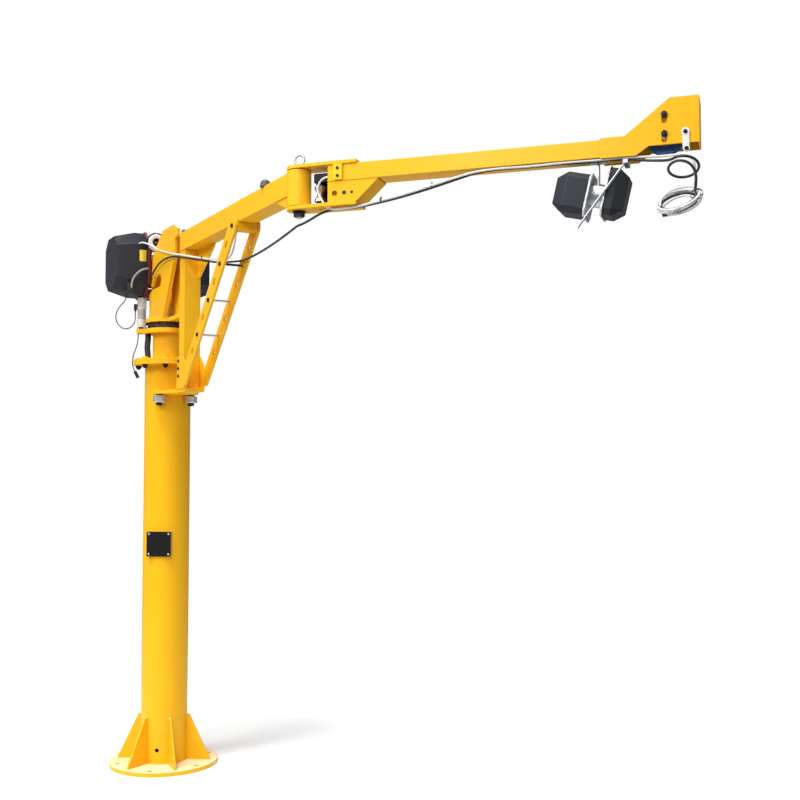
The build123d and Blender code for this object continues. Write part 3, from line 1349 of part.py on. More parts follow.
# Frame of the unit: two plates, a core between them, a hanger, and a stay rod on a clip and a bar
core_d = 0.5 * UNIT_H
stay_side = UNIT_DEPTH / 2 + UNIT_RIM + UNIT_STAY_GAP + UNIT_STAY_D / 2
stay_turn = radians(UNIT_STAY_TURN)
stay_way = ELBOW.x_dir * cos(stay_turn) + ELBOW.z_dir * sin(stay_turn)
clip_start = UNIT_GAP / 2 - UNIT_PLATE_T
clip_point = UNIT.from_local_coords(Vector(-stay_side, UNIT_STAY_RISE, clip_start + UNIT_PLATE_T / 2))
stay_foot = clip_point - stay_way * UNIT_STAY_LOW
stay_top = ELBOW.to_local_coords(clip_point + stay_way * UNIT_STAY_HIGH)
with BuildPart() as unit_frame:
    for (*_, height, lift), start in zip(unit_sides, (-UNIT_GAP / 2, clip_start)):
        with BuildSketch(UNIT.offset(start)):
            with Locations((0, lift)):
                Polygon(*octagon(UNIT_DEPTH, height, UNIT_CUT, -UNIT_RIM), align=None)
        extrude(amount=UNIT_PLATE_T)
    with BuildSketch(UNIT.offset(-UNIT_GAP / 2)):
        Circle(core_d / 2)
    extrude(amount=UNIT_GAP)
    with BuildSketch(cross_plane(ELBOW, UNIT_X - UNIT_PLATE_T / 2)):
        with Locations((0, (unit_z + outer_foot) / 2)):
            Rectangle(UNIT_HANGER_W, outer_foot - unit_z)
    extrude(amount=UNIT_PLATE_T)
    with BuildSketch(ELBOW.offset(outer_foot)):
        with Locations((UNIT_X, 0)):
            Rectangle(1.5 * UNIT_HANGER_W, UNIT_HANGER_W)
    extrude(amount=-UNIT_PLATE_T)
    with BuildSketch(UNIT.offset(clip_start)):
        with Locations((-(UNIT_DEPTH / 2 + stay_side) / 2, UNIT_STAY_RISE)):
            Rectangle(stay_side - UNIT_DEPTH / 2, 2 * UNIT_STAY_D)
    extrude(amount=UNIT_PLATE_T)
    with BuildSketch(side_plane(ELBOW, -UNIT_BAR_INSET)):
        with Locations((stay_top.X, stay_top.Z)):
            Rectangle(2 * UNIT_STAY_D, 1.5 * UNIT_STAY_D)
    extrude(amount=stay_side + UNIT_STAY_D - UNIT_BAR_INSET)
    with BuildSketch(side_plane(ELBOW, -UNIT_BAR_INSET)):
        with Locations((stay_top.X, (stay_top.Z + outer_foot) / 2)):
            Rectangle(2 * UNIT_STAY_D, outer_foot - stay_top.Z)
    extrude(amount=UNIT_RISER_W)
    with BuildSketch(Plane(origin=stay_foot, z_dir=stay_way)):
        Circle(UNIT_STAY_D / 2)
    extrude(amount=UNIT_STAY_LOW + UNIT_STAY_HIGH)
keep(unit_frame, "unit_frame")

# Bundled spare cable that hangs at the tip, as one ring
coil_centre = (TIP_REACH - COIL_INSET, -tip_outer - COIL_OFFSET, outer_foot - COIL_DROP)
coil_lean = -ELBOW.x_dir * 0.20 - ELBOW.y_dir * 0.65 + ELBOW.z_dir * 0.733
coil_side = ELBOW.y_dir * 0.733 + ELBOW.z_dir * 0.65
COIL = Plane(origin=outer_point(*coil_centre), x_dir=tuple(coil_side), z_dir=tuple(coil_lean))
with BuildPart() as tip_coil:
    with BuildSketch(Plane(origin=COIL.origin, x_dir=COIL.x_dir, z_dir=-COIL.y_dir)):
        with Locations(((COIL_D - COIL_BAND) / 2, 0)):
            Circle(COIL_BAND / 2)
    revolve(axis=Axis(origin=tuple(COIL.origin), direction=tuple(COIL.z_dir)))
keep(tip_coil, "tip_coil")


def round_point(radius, height):
    """A point beside the stop lug, at a radius from the column's axis."""
    return tuple(stop_frame.from_local_coords((radius, 0, height)))


# Hose from the bearing seat to the neck flange, and the sensor's thin cable with its plug
hose_r = (NECK_D / 2 + SEAT_D / 2) / 2 + 4
hose_points = [
    round_point(hose_r, seat_foot),
    round_point(hose_r, seat_foot - 0.2 * NECK_LEN),
    round_point(hose_r + 3, seat_foot - 0.42 * NECK_LEN),
    round_point(hose_r + 3, seat_foot - 0.58 * NECK_LEN),
    round_point(hose_r, seat_foot - 0.8 * NECK_LEN),
    round_point(hose_r, neck_foot),
]
cord("supply_hose", hose_points, HOSE_D)

rim_r = FLANGE_D / 2 + 6
plug_top = column_top - 28
sensor_points = [
    round_point(STOP_REACH - 8, seat_foot),
    round_point(STOP_REACH - 8, seat_foot - 30),
    round_point(STOP_REACH + 1, seat_foot - 70),
    round_point(rim_r - 4, neck_foot + 25),
    round_point(rim_r, neck_foot - 8),
    round_point(rim_r - 2, column_top - 8),
    round_point(rim_r - 12, plug_top),
]
cord("sensor_cable", sensor_points, THIN_D)
plug_way = Vector(*sensor_points[-1]) - Vector(*sensor_points[-2])
with BuildPart() as sensor_plug:
    with BuildSketch(Plane(origin=sensor_points[-1], z_dir=tuple(plug_way))):
        Circle(PLUG_D / 2)
    extrude(amount=0.8 * PLUG_LEN)
keep(sensor_plug, "sensor_plug")

# Grey conduit in front of the near cover, and the thin loop under it
conduit_points = [
    (gland_x, gland_y, gland_z),
    (gland_x, gland_y, gland_z + 26),
    (gland_x, gland_y + 6, gland_z + 51),
    (gland_x, gland_y + 21, gland_z + 75),
    (gland_x, gland_y + 42, gland_z + 95),
    (gland_x, gland_y + 62, gland_z + 106),
    (gland_x, -frame_outer - 0.6, gland_z + 108),
]
cord("hoist_conduit", conduit_points, CONDUIT_D)

loop_z = coupling_top
loop_y = -frame_outer - 74
loop_rise = HOIST_TAPER * (74 - HOIST_NEAR_LEN + HOIST_TAPER_LEN) / HOIST_TAPER_LEN
loop_points = [
    (coupling_x, loop_y, cover_low + loop_rise - 1),
    (coupling_x, loop_y, loop_z - 16),
    (coupling_x, -frame_outer - 104, loop_z - 46),
    (coupling_x, -frame_outer - 124, loop_z - 82),
    (coupling_x, -frame_outer - 127, loop_z - 118),
    (coupling_x, -frame_outer - 109, loop_z - 150),
    (coupling_x, -frame_outer - 78, loop_z - 166),
    (coupling_x, side_plug_y - 16, loop_z - 150),
    (coupling_x, side_plug_y - 1, loop_z - 122),
    (coupling_x, side_plug_y, loop_z - 92),
    (coupling_x, side_plug_y, side_plug_z),
]
cord("hoist_loop", loop_points, THIN_D)

# Control cable from the hoist's cover, over the head and through the struts, into the arm
beside = head_outer + stiffener_t + POWER_D
control_points = [
    (hoist_front, -frame_outer - 42, guide_z - 2),
    (hoist_front + 24, -frame_outer - 42, guide_z - 2),
    (hoist_front + 52, -frame_outer - 34, guide_z - 6),
    (hoist_front + 78, -frame_outer - 18, guide_z - 17),
    (hoist_front + 110, -beside - 7, guide_z - 32),
    (hoist_front + 160, -beside, guide_z - 56),
    (hoist_front + 232, -beside + 1, arm_foot + 28),
    (head_front - 60, -beside, arm_foot + 8),
    (head_front + 26, -beside - 3, arm_foot - 12),
    (post_front + 24, -arm_side - 18, arm_foot - 33),
    (post_front + 130, -arm_side, arm_foot - 58),
    (post_front + 240, -arm_side + 19, arm_foot - 81),
    (post_front + 350, -arm_side + 39, arm_foot - 102),
    (STRUT_TOP_X - 240, arm_side - 29, arm_foot - 110),
    (STRUT_TOP_X - 190, arm_side - 27, arm_foot - 102),
    (STRUT_TOP_X - 146, arm_side - 31, arm_foot - 73),
    (STRUT_TOP_X - 119, arm_side - 35, arm_foot - 41),
    (STRUT_TOP_X - 109, arm_side - 36, arm_foot - 2),
]
cord("control_cable_inner", control_points, CONTROL_D)

# Power cable from the hoist frame, over the head, tied to the far strut and on to the elbow
power_side = head_outer + stiffener_t + POWER_D / 2 + 2
power_points = [
    (frame_front, -HOIST_FRAME_FACE - HOIST_FRAME_T / 2, arm_foot - 66),
    (frame_front + 34, -HOIST_FRAME_FACE - HOIST_FRAME_T / 2, arm_foot - 66),
    (frame_front + 76, -power_side, arm_foot - 46),
    (frame_front + 126, -power_side, arm_foot - 28),
    (frame_front + 186, -power_side, arm_foot - 18),
    (frame_front + 256, -power_side, arm_foot - 15),
    (frame_front + 321, -power_side + 1, arm_foot - 17),
    (head_front + 29, -power_side + 3, arm_foot - 24),
    (post_front + 18, -arm_side - 8, arm_foot - 43),
    (post_front + 128, -arm_side + 10, arm_foot - 68),
    (post_front + 238, -arm_side + 30, arm_foot - 92),
    (post_front + 348, -arm_side + 50, arm_foot - 114),
    (STRUT_TOP_X - 213, arm_side - 14, arm_foot - 122),
    (STRUT_TOP_X - 141, arm_side - 3, arm_foot - 130),
    (STRUT_TOP_X - 53, arm_side - 6, arm_foot - 134),
    (STRUT_TOP_X + 57, arm_side - 12, arm_foot - 135),
    (STRUT_TOP_X + 177, arm_side - 19, arm_foot - 132),
    (INNER_REACH - 245, arm_side - 26, arm_foot - 126),
    (INNER_REACH - 135, 7, arm_foot - 118),
    (INNER_REACH - 65, 3, arm_foot - 112),
    (INNER_REACH - ELBOW_CABLE_GAP, 0, arm_foot - 107),
]
cord("power_cable_inner", power_points, POWER_D)

# Power cable along the outer arm to the loop at the tip
under_fork = fork_foot - FORK_PLATE_T - POWER_D / 2 - 1.5
under_arm = outer_foot - POWER_D / 2 - 0.8
power_lane = -outer_side + 16
loop_r = LOOP_D / 2
loop_centre = (TIP_REACH - LOOP_INSET, -tip_outer - LOOP_OFFSET, outer_foot - LOOP_DROP)
power_outer = [
    (ELBOW_CABLE_GAP, 0, arm_foot - 104.5),
    (48, -4, arm_foot - 91),
    (84, -10, under_fork - 12),
    (124, -15, under_fork - 2),
    (168, -16, under_fork),
    (FORK_LEN - 10, -18, under_fork - 0.5),
    (beneath(68), -20, under_fork + 9),
    (beneath(153), -22, under_fork + 22),
    (beneath(258), -25, under_fork + 43),
    (beneath(358), -28, under_fork + 67),
    (beneath(440), power_lane, under_arm - 5),
    (beneath(520), power_lane, under_arm),
    (beneath(630), power_lane, under_arm - 2.5),
    (beneath(740), power_lane, under_arm),
    (beneath(850), power_lane, under_arm - 1.5),
    (OUTER_END - 36, power_lane, under_arm - 1),
    (OUTER_END + 19, power_lane - 6, under_arm - 13),
    (OUTER_END + 68, power_lane - 27, under_arm - 24),
]
for k in range(13):
    turn = radians(215 + 33.5 * k)
    power_outer.append((
        loop_centre[0] + loop_r * cos(turn),
        loop_centre[1] + loop_r * sin(turn),
        loop_centre[2] + LOOP_LEAN * loop_r * sin(turn) - 1.2 * k,
    ))
power_outer += [
    (TIP_REACH - 34, loop_centre[1] - 46, loop_centre[2] - 3),
    (TIP_REACH - 16, loop_centre[1] - 38, loop_centre[2] - 22),
    (TIP_REACH - 10, loop_centre[1] - 29, loop_centre[2] - 46),
    (TIP_REACH - 12, loop_centre[1] - 22, loop_centre[2] - 69),
    (TIP_REACH - 15, loop_centre[1] - 18, loop_centre[2] - 89),
]
cord("power_cable_outer", [outer_point(*p) for p in power_outer], POWER_D)

# Control cable out of the outer arm's end, down through the fork's slot and along to the tip
control_lane = -outer_side + 6
under_control = outer_foot - CONTROL_D / 2 - 0.8
control_fork = fork_foot - FORK_PLATE_T - CONTROL_D / 2
control_outer = [
    (FORK_SIDE_START + 21, FORK_SLOT_Y, fork_top - 38),
    (FORK_SIDE_START - 15, FORK_SLOT_Y, fork_top - 38),
    (FORK_SIDE_START - 39, FORK_SLOT_Y, fork_top - 56),
    (FORK_SIDE_START - 48, FORK_SLOT_Y, fork_top - 88),
    (FORK_SIDE_START - 31, FORK_SLOT_Y, fork_top - 120),
    (FORK_SLOT_X + 1, FORK_SLOT_Y, fork_foot - 11),
    (FORK_SLOT_X + 28, FORK_SLOT_Y, control_fork - 7),
    (FORK_SLOT_X + 64, FORK_SLOT_Y - 1, control_fork - 5),
    (FORK_LEN - 8, FORK_SLOT_Y - 2, control_fork - 4),
    (beneath(66), FORK_SLOT_Y - 3, control_fork + 9),
    (beneath(151), FORK_SLOT_Y - 5, control_fork + 23),
    (beneath(256), FORK_SLOT_Y - 7, control_fork + 45),
    (beneath(356), FORK_SLOT_Y - 9, control_fork + 69),
    (beneath(438), control_lane, under_control - 4),
    (beneath(520), control_lane, under_control),
    (beneath(630), control_lane, under_control - 3),
    (beneath(740), control_lane, under_control),
    (beneath(850), control_lane, under_control - 2),
    (OUTER_END - 36, control_lane, under_control),
    (OUTER_END + 24, control_lane - 2, under_control - 4),
    (OUTER_END + 84, control_lane - 8, under_control - 9),
    (OUTER_END + 129, -tip_outer - HANGER_T - 4, under_control - 11),
    (TIP_REACH - 40, -tip_outer - HANGER_T - 12, under_control - 13),
    (TIP_REACH - 22, -tip_outer - 18, under_control - 30),
    (TIP_REACH - 15, -tip_outer - 20, under_control - 55),
    (TIP_REACH - 14, -tip_outer - 16, under_control - 80),
    (TIP_REACH - 16, -tip_outer - 6, under_control - 103),
    (TIP_REACH - 18, -tip_outer + 1, under_control - 112),
]
cord("control_cable_outer", [outer_point(*p) for p in control_outer], CONTROL_D)
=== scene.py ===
"""Dresses the folding jib crane: enamel, steel, moulded covers, welds, fasteners and cables.

Blender's units are metres in the crane's own frame: +Z up, +X along the inner arm, the near side is -Y.
Sizes in the classes are millimetres, as on a workshop drawing.
"""
import json
import logging
import math
import random
from dataclasses import dataclass
from enum import Enum
from typing import Callable, Optional, Sequence, Union

import bpy
from mathutils import Matrix, Vector


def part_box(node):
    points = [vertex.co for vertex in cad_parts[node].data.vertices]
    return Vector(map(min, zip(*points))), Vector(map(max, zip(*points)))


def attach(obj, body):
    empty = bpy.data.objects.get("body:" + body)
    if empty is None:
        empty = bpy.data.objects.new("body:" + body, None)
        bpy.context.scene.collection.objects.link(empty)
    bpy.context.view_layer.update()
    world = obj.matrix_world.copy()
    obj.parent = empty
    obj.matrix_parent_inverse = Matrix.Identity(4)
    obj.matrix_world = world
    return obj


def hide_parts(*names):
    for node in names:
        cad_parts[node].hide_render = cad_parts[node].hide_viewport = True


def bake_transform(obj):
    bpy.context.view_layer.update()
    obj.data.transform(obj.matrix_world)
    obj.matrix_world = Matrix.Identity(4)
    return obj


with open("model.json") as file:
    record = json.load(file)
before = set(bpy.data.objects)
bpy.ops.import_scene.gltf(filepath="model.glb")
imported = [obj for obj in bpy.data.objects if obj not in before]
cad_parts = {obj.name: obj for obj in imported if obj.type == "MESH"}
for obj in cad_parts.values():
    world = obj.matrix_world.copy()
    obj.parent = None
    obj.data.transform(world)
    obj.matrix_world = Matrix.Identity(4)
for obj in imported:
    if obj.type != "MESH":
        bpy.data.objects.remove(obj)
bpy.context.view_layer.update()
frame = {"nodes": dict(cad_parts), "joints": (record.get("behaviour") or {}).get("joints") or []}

LOG = logging.getLogger("jib_crane")
MM = 0.001

# Shares of a bolt's diameter, and a washer's thickness in millimetres
WASHER_T = 2.0
WASHER_OUTER = 0.92
WASHER_INNER = 0.45
ACROSS_SHARE = 1.5
HEAD_SHARE = 0.65
NUT_SHARE = 0.85
TAIL_SHARE = 0.35

Colour = tuple[float, float, float]
Point = tuple[float, float, float]


class Body(Enum):
    """The crane's moving bodies that carry dressed pieces."""

    COLUMN = "column"
    INNER = "inner_arm"
    OUTER = "outer_arm"
    ROLLER_NEAR = "roller_near"
    ROLLER_FAR = "roller_far"


class FarEnd(Enum):
    """What a cable's far end goes into."""

    PLUG = "plug"
    CONNECTOR = "connector"
    OBJECT = "object"


class Lay(Enum):
    """How a cable lies."""

    LOOSE = "loose"
    HANGING = "hanging"
    COILED = "coiled"


# Shading: sockets as values, and one graph for each material


class Shade:
    """A value in a material. Arithmetic on it adds Math nodes."""

    def __init__(self, graph: "Graph", socket: bpy.types.NodeSocket) -> None:
        """Wrap an output socket of a graph."""
        self.graph = graph
        self.socket = socket

    def _math(self, operation: str, left: "Value", right: "Value") -> "Shade":
        """Add one Math node on two values."""
        return self.graph.node("ShaderNodeMath", {"operation": operation}, {0: left, 1: right})

    def __add__(self, other: "Value") -> "Shade":
        """Sum."""
        return self._math("ADD", self, other)

    def __radd__(self, other: "Value") -> "Shade":
        """Sum, reflected."""
        return self._math("ADD", other, self)

    def __sub__(self, other: "Value") -> "Shade":
        """Difference."""
        return self._math("SUBTRACT", self, other)

    def __rsub__(self, other: "Value") -> "Shade":
        """Difference, reflected."""
        return self._math("SUBTRACT", other, self)

    def __mul__(self, other: "Value") -> "Shade":
        """Product."""
        return self._math("MULTIPLY", self, other)

    def __rmul__(self, other: "Value") -> "Shade":
        """Product, reflected."""
        return self._math("MULTIPLY", other, self)


Value = Union[float, Shade]


class Graph:
    """The nodes of one material, round a Principled shader."""

    def __init__(self, name: str) -> None:
        """Start an empty material.

        Args:
            name: the material's name.
        """
        self.material = bpy.data.materials.new(name)
        self.material.use_nodes = True
        self.tree = self.material.node_tree
        self.tree.nodes.clear()
        self.shader = self.tree.nodes.new("ShaderNodeBsdfPrincipled")
        output = self.tree.nodes.new("ShaderNodeOutputMaterial")
        self.tree.links.new(self.shader.outputs[0], output.inputs["Surface"])

    def node(self, kind: str, settings: dict, sockets: dict, output: Union[int, str] = 0) -> Shade:
        """Add a node.

        Args:
            kind: the node's type.
            settings: properties of the node, set first.
            sockets: values or shades for its inputs, by index or name.
            output: which output to give back.

        Returns:
            The chosen output as a shade.
        """
        made = self.tree.nodes.new(kind)
        for key, value in settings.items():
            setattr(made, key, value)
        for key, value in sockets.items():
            self.feed(made.inputs[key], value)
        return Shade(self, made.outputs[output])

    def feed(self, socket: bpy.types.NodeSocket, value: object) -> None:
        """Link a shade to a socket, or set the socket's own value.

        Args:
            socket: the input.
            value: a shade or a plain value.
        """
        if isinstance(value, Shade):
            self.tree.links.new(value.socket, socket)
        else:
            socket.default_value = value

    def spots(self, scale: float, detail: float = 2.0, stretch: Colour = (1.0, 1.0, 1.0)) -> Shade:
        """Noise in the object's own coordinates.

        Args:
            scale: spots to the metre.
            detail: octaves of finer spots.
            stretch: scale along each axis.

        Returns:
            A value about 0.5.
        """
        where = self.node("ShaderNodeTexCoord", {}, {}, "Object")
        drawn = self.node("ShaderNodeMapping", {}, {"Vector": where, "Scale": stretch})
        sockets = {"Vector": drawn, "Scale": scale, "Detail": detail}
        return self.node("ShaderNodeTexNoise", {}, sockets)

    def fade(self, value: Shade, low: float, high: float) -> Shade:
        """Smooth step from 0 at ``low`` to 1 at ``high``."""
        sockets = {"Value": value, "From Min": low, "From Max": high}
        return self.node("ShaderNodeMapRange", {"interpolation_type": "SMOOTHSTEP"}, sockets)

    def upward(self) -> Shade:
        """How far the surface looks up.

        Returns:
            1 on faces that look up, 0 on upright faces and undersides.
        """
        normal = self.node("ShaderNodeNewGeometry", {}, {}, "Normal")
        rise = self.node("ShaderNodeSeparateXYZ", {}, {"Vector": normal}, "Z")
        return self.fade(rise, 0.35, 0.95)

    def tint(self, share: Value, first: object, second: object) -> Shade:
        """Mix of two colours, given as tuples or shades."""
        sockets = {0: share, 6: _opaque(first), 7: _opaque(second)}
        return self.node("ShaderNodeMix", {"data_type": "RGBA"}, sockets, 2)

    def relief(self, height: Shade, strength: float, distance: float) -> Shade:
        """Bump from a height, with its distance in metres."""
        sockets = {"Strength": strength, "Distance": distance, "Height": height}
        return self.node("ShaderNodeBump", {}, sockets)

    def surface(self, **sockets: object) -> bpy.types.Material:
        """Feed the shader's sockets, named with underscores for spaces.

        Args:
            sockets: values or shades.

        Returns:
            The finished material.
        """
        for key, value in sockets.items():
            self.feed(self.shader.inputs[key.replace("_", " ")], value)
        return self.material


def _opaque(colour: object) -> object:
    """A colour tuple with its alpha; a shade as it is."""
    return colour if isinstance(colour, Shade) else (*colour, 1.0)


# Finishes


@dataclass(frozen=True)
class Finish:
    """A surface: its name, the record's slot that it stands for, and its colour."""

    name: str
    slot: str
    colour: Colour

    def material(self) -> bpy.types.Material:
        """The finish as a material, made once."""
        made = bpy.data.materials.get(self.name)
        return made if made else self.paint(Graph(self.name))

    def paint(self, graph: Graph) -> bpy.types.Material:
        """Build the material's nodes."""
        raise NotImplementedError


@dataclass(frozen=True)
class Enamel(Finish):
    """Sprayed gloss paint with orange peel, drift of tone, dust in patches, an even pale painted top light on
    upward faces where set, and a few chips.
    """

    deep: Colour = (0.5, 0.5, 0.5)
    gloss: float = 0.36
    dust: float = 0.35
    painted_top_light: float = 0.0
    dust_and_top_light_colour: Colour = (0.62, 0.55, 0.42)
    shine: float = 0.16

    def paint(self, graph: Graph) -> bpy.types.Material:
        """Build the paint's nodes.

        Args:
            graph: an empty graph.

        Returns:
            The finished material.
        """
        drift = graph.spots(2.3, 3.0)
        mottle = graph.spots(34.0, 4.0)
        grime = graph.fade(graph.spots(8.0, 6.0), 0.42, 0.72)
        top = graph.upward()
        streak = graph.fade(graph.spots(5.0, 5.0, (6.0, 6.0, 0.5)), 0.56, 0.8)
        tone = graph.tint(0.75 * drift + 0.25 * mottle - 0.1, self.colour, self.deep)
        streaked = graph.tint(0.16 * streak, tone, self.deep)
        # Upward faces take dust in patches, and the painted top light: an even pale coat that stands in for
        # strong light from above.
        dusted_and_top_lit = graph.tint(top * (self.dust * grime + self.painted_top_light), streaked, self.dust_and_top_light_colour)
        chip = graph.fade(graph.spots(260.0, 1.0), 0.745, 0.77) * graph.fade(graph.spots(9.0), 0.52, 0.62)
        chipped = graph.tint(0.7 * chip, dusted_and_top_lit, (0.10, 0.075, 0.055))
        peel = graph.spots(420.0, 1.0) + 0.8 * graph.spots(60.0, 2.0) - 1.2 * chip
        return graph.surface(
            Base_Color=chipped,
            Roughness=self.gloss - 0.06 + 0.12 * mottle + 0.3 * top * grime,
            Normal=graph.relief(peel, 0.22, 0.0006),
            Specular_IOR_Level=self.shine,
            Coat_Weight=0.07 - 0.06 * grime,
            Coat_Roughness=0.2,
        )


@dataclass(frozen=True)
class Metal(Finish):
    """Bare, plated or blackened metal with fine scratches and stains."""

    roughness: float = 0.32
    grain: Colour = (1.0, 1.0, 1.0)
    metallic: float = 1.0

    def paint(self, graph: Graph) -> bpy.types.Material:
        """Build the metal's nodes.

        Args:
            graph: an empty graph.

        Returns:
            The finished material.
        """
        cloud = graph.spots(26.0, 4.0)
        stain = graph.fade(graph.spots(70.0, 5.0), 0.5, 0.75)
        scratch = graph.spots(900.0, 2.0, self.grain)
        dark = tuple(0.55 * part for part in self.colour)
        return graph.surface(
            Base_Color=graph.tint(0.45 * cloud + 0.35 * stain, self.colour, dark),
            Metallic=self.metallic,
            Roughness=self.roughness - 0.08 + 0.14 * scratch + 0.16 * stain,
            Normal=graph.relief(scratch + cloud, 0.12, 0.0004),
        )


@dataclass(frozen=True)
class Moulding(Finish):
    """Moulded plastic with a fine grain, faint sheen changes and settled dust."""

    roughness: float = 0.45
    grain: float = 0.3
    dust: float = 0.3
    shine: float = 0.5

    def paint(self, graph: Graph) -> bpy.types.Material:
        """Build the plastic's nodes.

        Args:
            graph: an empty graph.

        Returns:
            The finished material.
        """
        spark = graph.spots(1100.0, 2.0)
        cloud = graph.spots(12.0, 4.0)
        dust = graph.upward() * graph.fade(graph.spots(14.0, 5.0), 0.35, 0.7)
        scuff = graph.fade(graph.spots(30.0, 3.0, (1.0, 7.0, 1.0)), 0.64, 0.74)
        pale = tuple(min(1.0, 1.25 * part + 0.004) for part in self.colour)
        tone = graph.tint(0.7 * cloud, self.colour, pale)
        return graph.surface(
            Base_Color=graph.tint(self.dust * dust, tone, (0.45, 0.43, 0.40)),
            Roughness=self.roughness - 0.08 + 0.16 * cloud + 0.12 * scuff,
            Normal=graph.relief(spark + 0.5 * cloud, self.grain, 0.0005),
            Specular_IOR_Level=self.shine,
        )


@dataclass(frozen=True)
class Sheath(Finish):
    """Cable sheath or rubber: soft sheen, faint rings and rubbed patches."""

    roughness: float = 0.5

    def paint(self, graph: Graph) -> bpy.types.Material:
        """Build the sheath's nodes.

        Args:
            graph: an empty graph.

        Returns:
            The finished material.
        """
        rub = graph.fade(graph.spots(45.0, 4.0), 0.45, 0.75)
        fine = graph.spots(700.0, 2.0)
        worn = tuple(min(1.0, 0.8 * part + 0.05) for part in self.colour)
        return graph.surface(
            Base_Color=graph.tint(0.6 * rub, self.colour, worn),
            Roughness=self.roughness + 0.2 * rub - 0.05,
            Normal=graph.relief(fine, 0.2, 0.0003),
        )


YELLOW = Enamel("yellow_enamel", "yellow_paint", (0.94, 0.52, 0.014), deep=(0.86, 0.41, 0.004))
BRIGHT_YELLOW = Enamel(
    "bright_yellow_enamel", "yellow_paint", (0.96, 0.62, 0.018), deep=(0.90, 0.50, 0.006),
)
# Enamel for the base: dust, and a pale painted top light on its upward faces.
DUSTY_TOP_LIT_YELLOW = Enamel(
    "dusty_top_lit_enamel", "yellow_paint", (0.94, 0.52, 0.014), deep=(0.86, 0.41, 0.004), dust=0.2, painted_top_light=0.72,
    dust_and_top_light_colour=(0.97, 0.84, 0.56),
)
WELD = Enamel("painted_weld", "yellow_paint", (0.88, 0.45, 0.010), deep=(0.72, 0.31, 0.004), gloss=0.4)
# Dark orange enamel as painted shade, for the sunk plugs in the fork's side holes.
SHADE_PAINTED_YELLOW = Enamel(
    "shaded_enamel", "yellow_paint", (0.30, 0.085, 0.006), deep=(0.20, 0.05, 0.003), gloss=0.45,
)
# Dark orange enamel as painted shade, for the backs of the tip's slots.
SHADED = Enamel("slot_painted_shade_enamel", "yellow_paint", (0.60, 0.23, 0.004), deep=(0.48, 0.16, 0.002), gloss=0.5)
BLACK = Enamel("black_enamel", "black_paint", (0.009, 0.009, 0.010), deep=(0.005, 0.005, 0.006), shine=0.3)
MAROON = Enamel("maroon_enamel", "maroon_paint", (0.17, 0.022, 0.030), deep=(0.11, 0.012, 0.018), gloss=0.4)
ZINC = Metal("bright_zinc", "bright_steel", (0.66, 0.66, 0.67), roughness=0.32)
TURNED = Metal(
    "turned_steel", "bright_steel", (0.80, 0.79, 0.77), roughness=0.3, grain=(0.15, 0.15, 4.0), metallic=0.75,
)
GALVANISED = Metal("galvanised_strap", "bright_steel", (0.86, 0.86, 0.85), roughness=0.45, metallic=0.3)
# Dark brown steel for the bearing's rings: the brown is a painted reflection of the yellow paint round it and
# painted shade in the gap.
BEARING_PAINTED_REFLECTION = Metal("bearing_steel_painted_reflection", "dark_steel", (0.085, 0.040, 0.026), roughness=0.48, metallic=0.5)
BLACKENED = Metal("blackened_steel", "dark_steel", (0.024, 0.022, 0.022), roughness=0.46, metallic=0.5)
BRONZE = Metal("bush_bronze", "bronze_bush", (0.55, 0.34, 0.14), roughness=0.35)
SILVER = Metal("silver_plate", "silver_frame", (0.60, 0.61, 0.63), roughness=0.4)
CHARCOAL = Moulding(
    "charcoal_moulding", "charcoal_cover", (0.018, 0.0195, 0.026), roughness=0.44, grain=0.24, dust=0.04,
    shine=0.25,
)
SEAM = Moulding("cover_seal", "charcoal_cover", (0.012, 0.012, 0.013), roughness=0.6)
WHITE = Moulding(
    "white_moulding", "white_plastic", (0.80, 0.80, 0.78), roughness=0.36, grain=0.12, dust=0.15,
)
PALE_GREY = Moulding("grey_moulding", "white_plastic", (0.52, 0.53, 0.54), roughness=0.42, grain=0.12)
BLUE = Moulding("blue_nylon", "blue_sheave", (0.025, 0.10, 0.30), roughness=0.38, grain=0.12)
PATCH = Moulding("yellow_patch", "yellow_paint", (0.85, 0.62, 0.05), roughness=0.4, grain=0.05)
BLACK_SHEATH = Sheath("black_sheath", "black_cable", (0.020, 0.020, 0.022), roughness=0.42)
WHITE_SHEATH = Sheath("white_sheath", "white_cable", (0.74, 0.74, 0.72), roughness=0.46)
GREY_SHEATH = Sheath("grey_conduit", "grey_hose", (0.30, 0.305, 0.315), roughness=0.45)
TIE = Sheath("tie_nylon", "black_cable", (0.010, 0.010, 0.011), roughness=0.4)
RUBBER = Sheath("buffer_rubber", "black_cable", (0.075, 0.08, 0.08), roughness=0.6)


# Places and forms


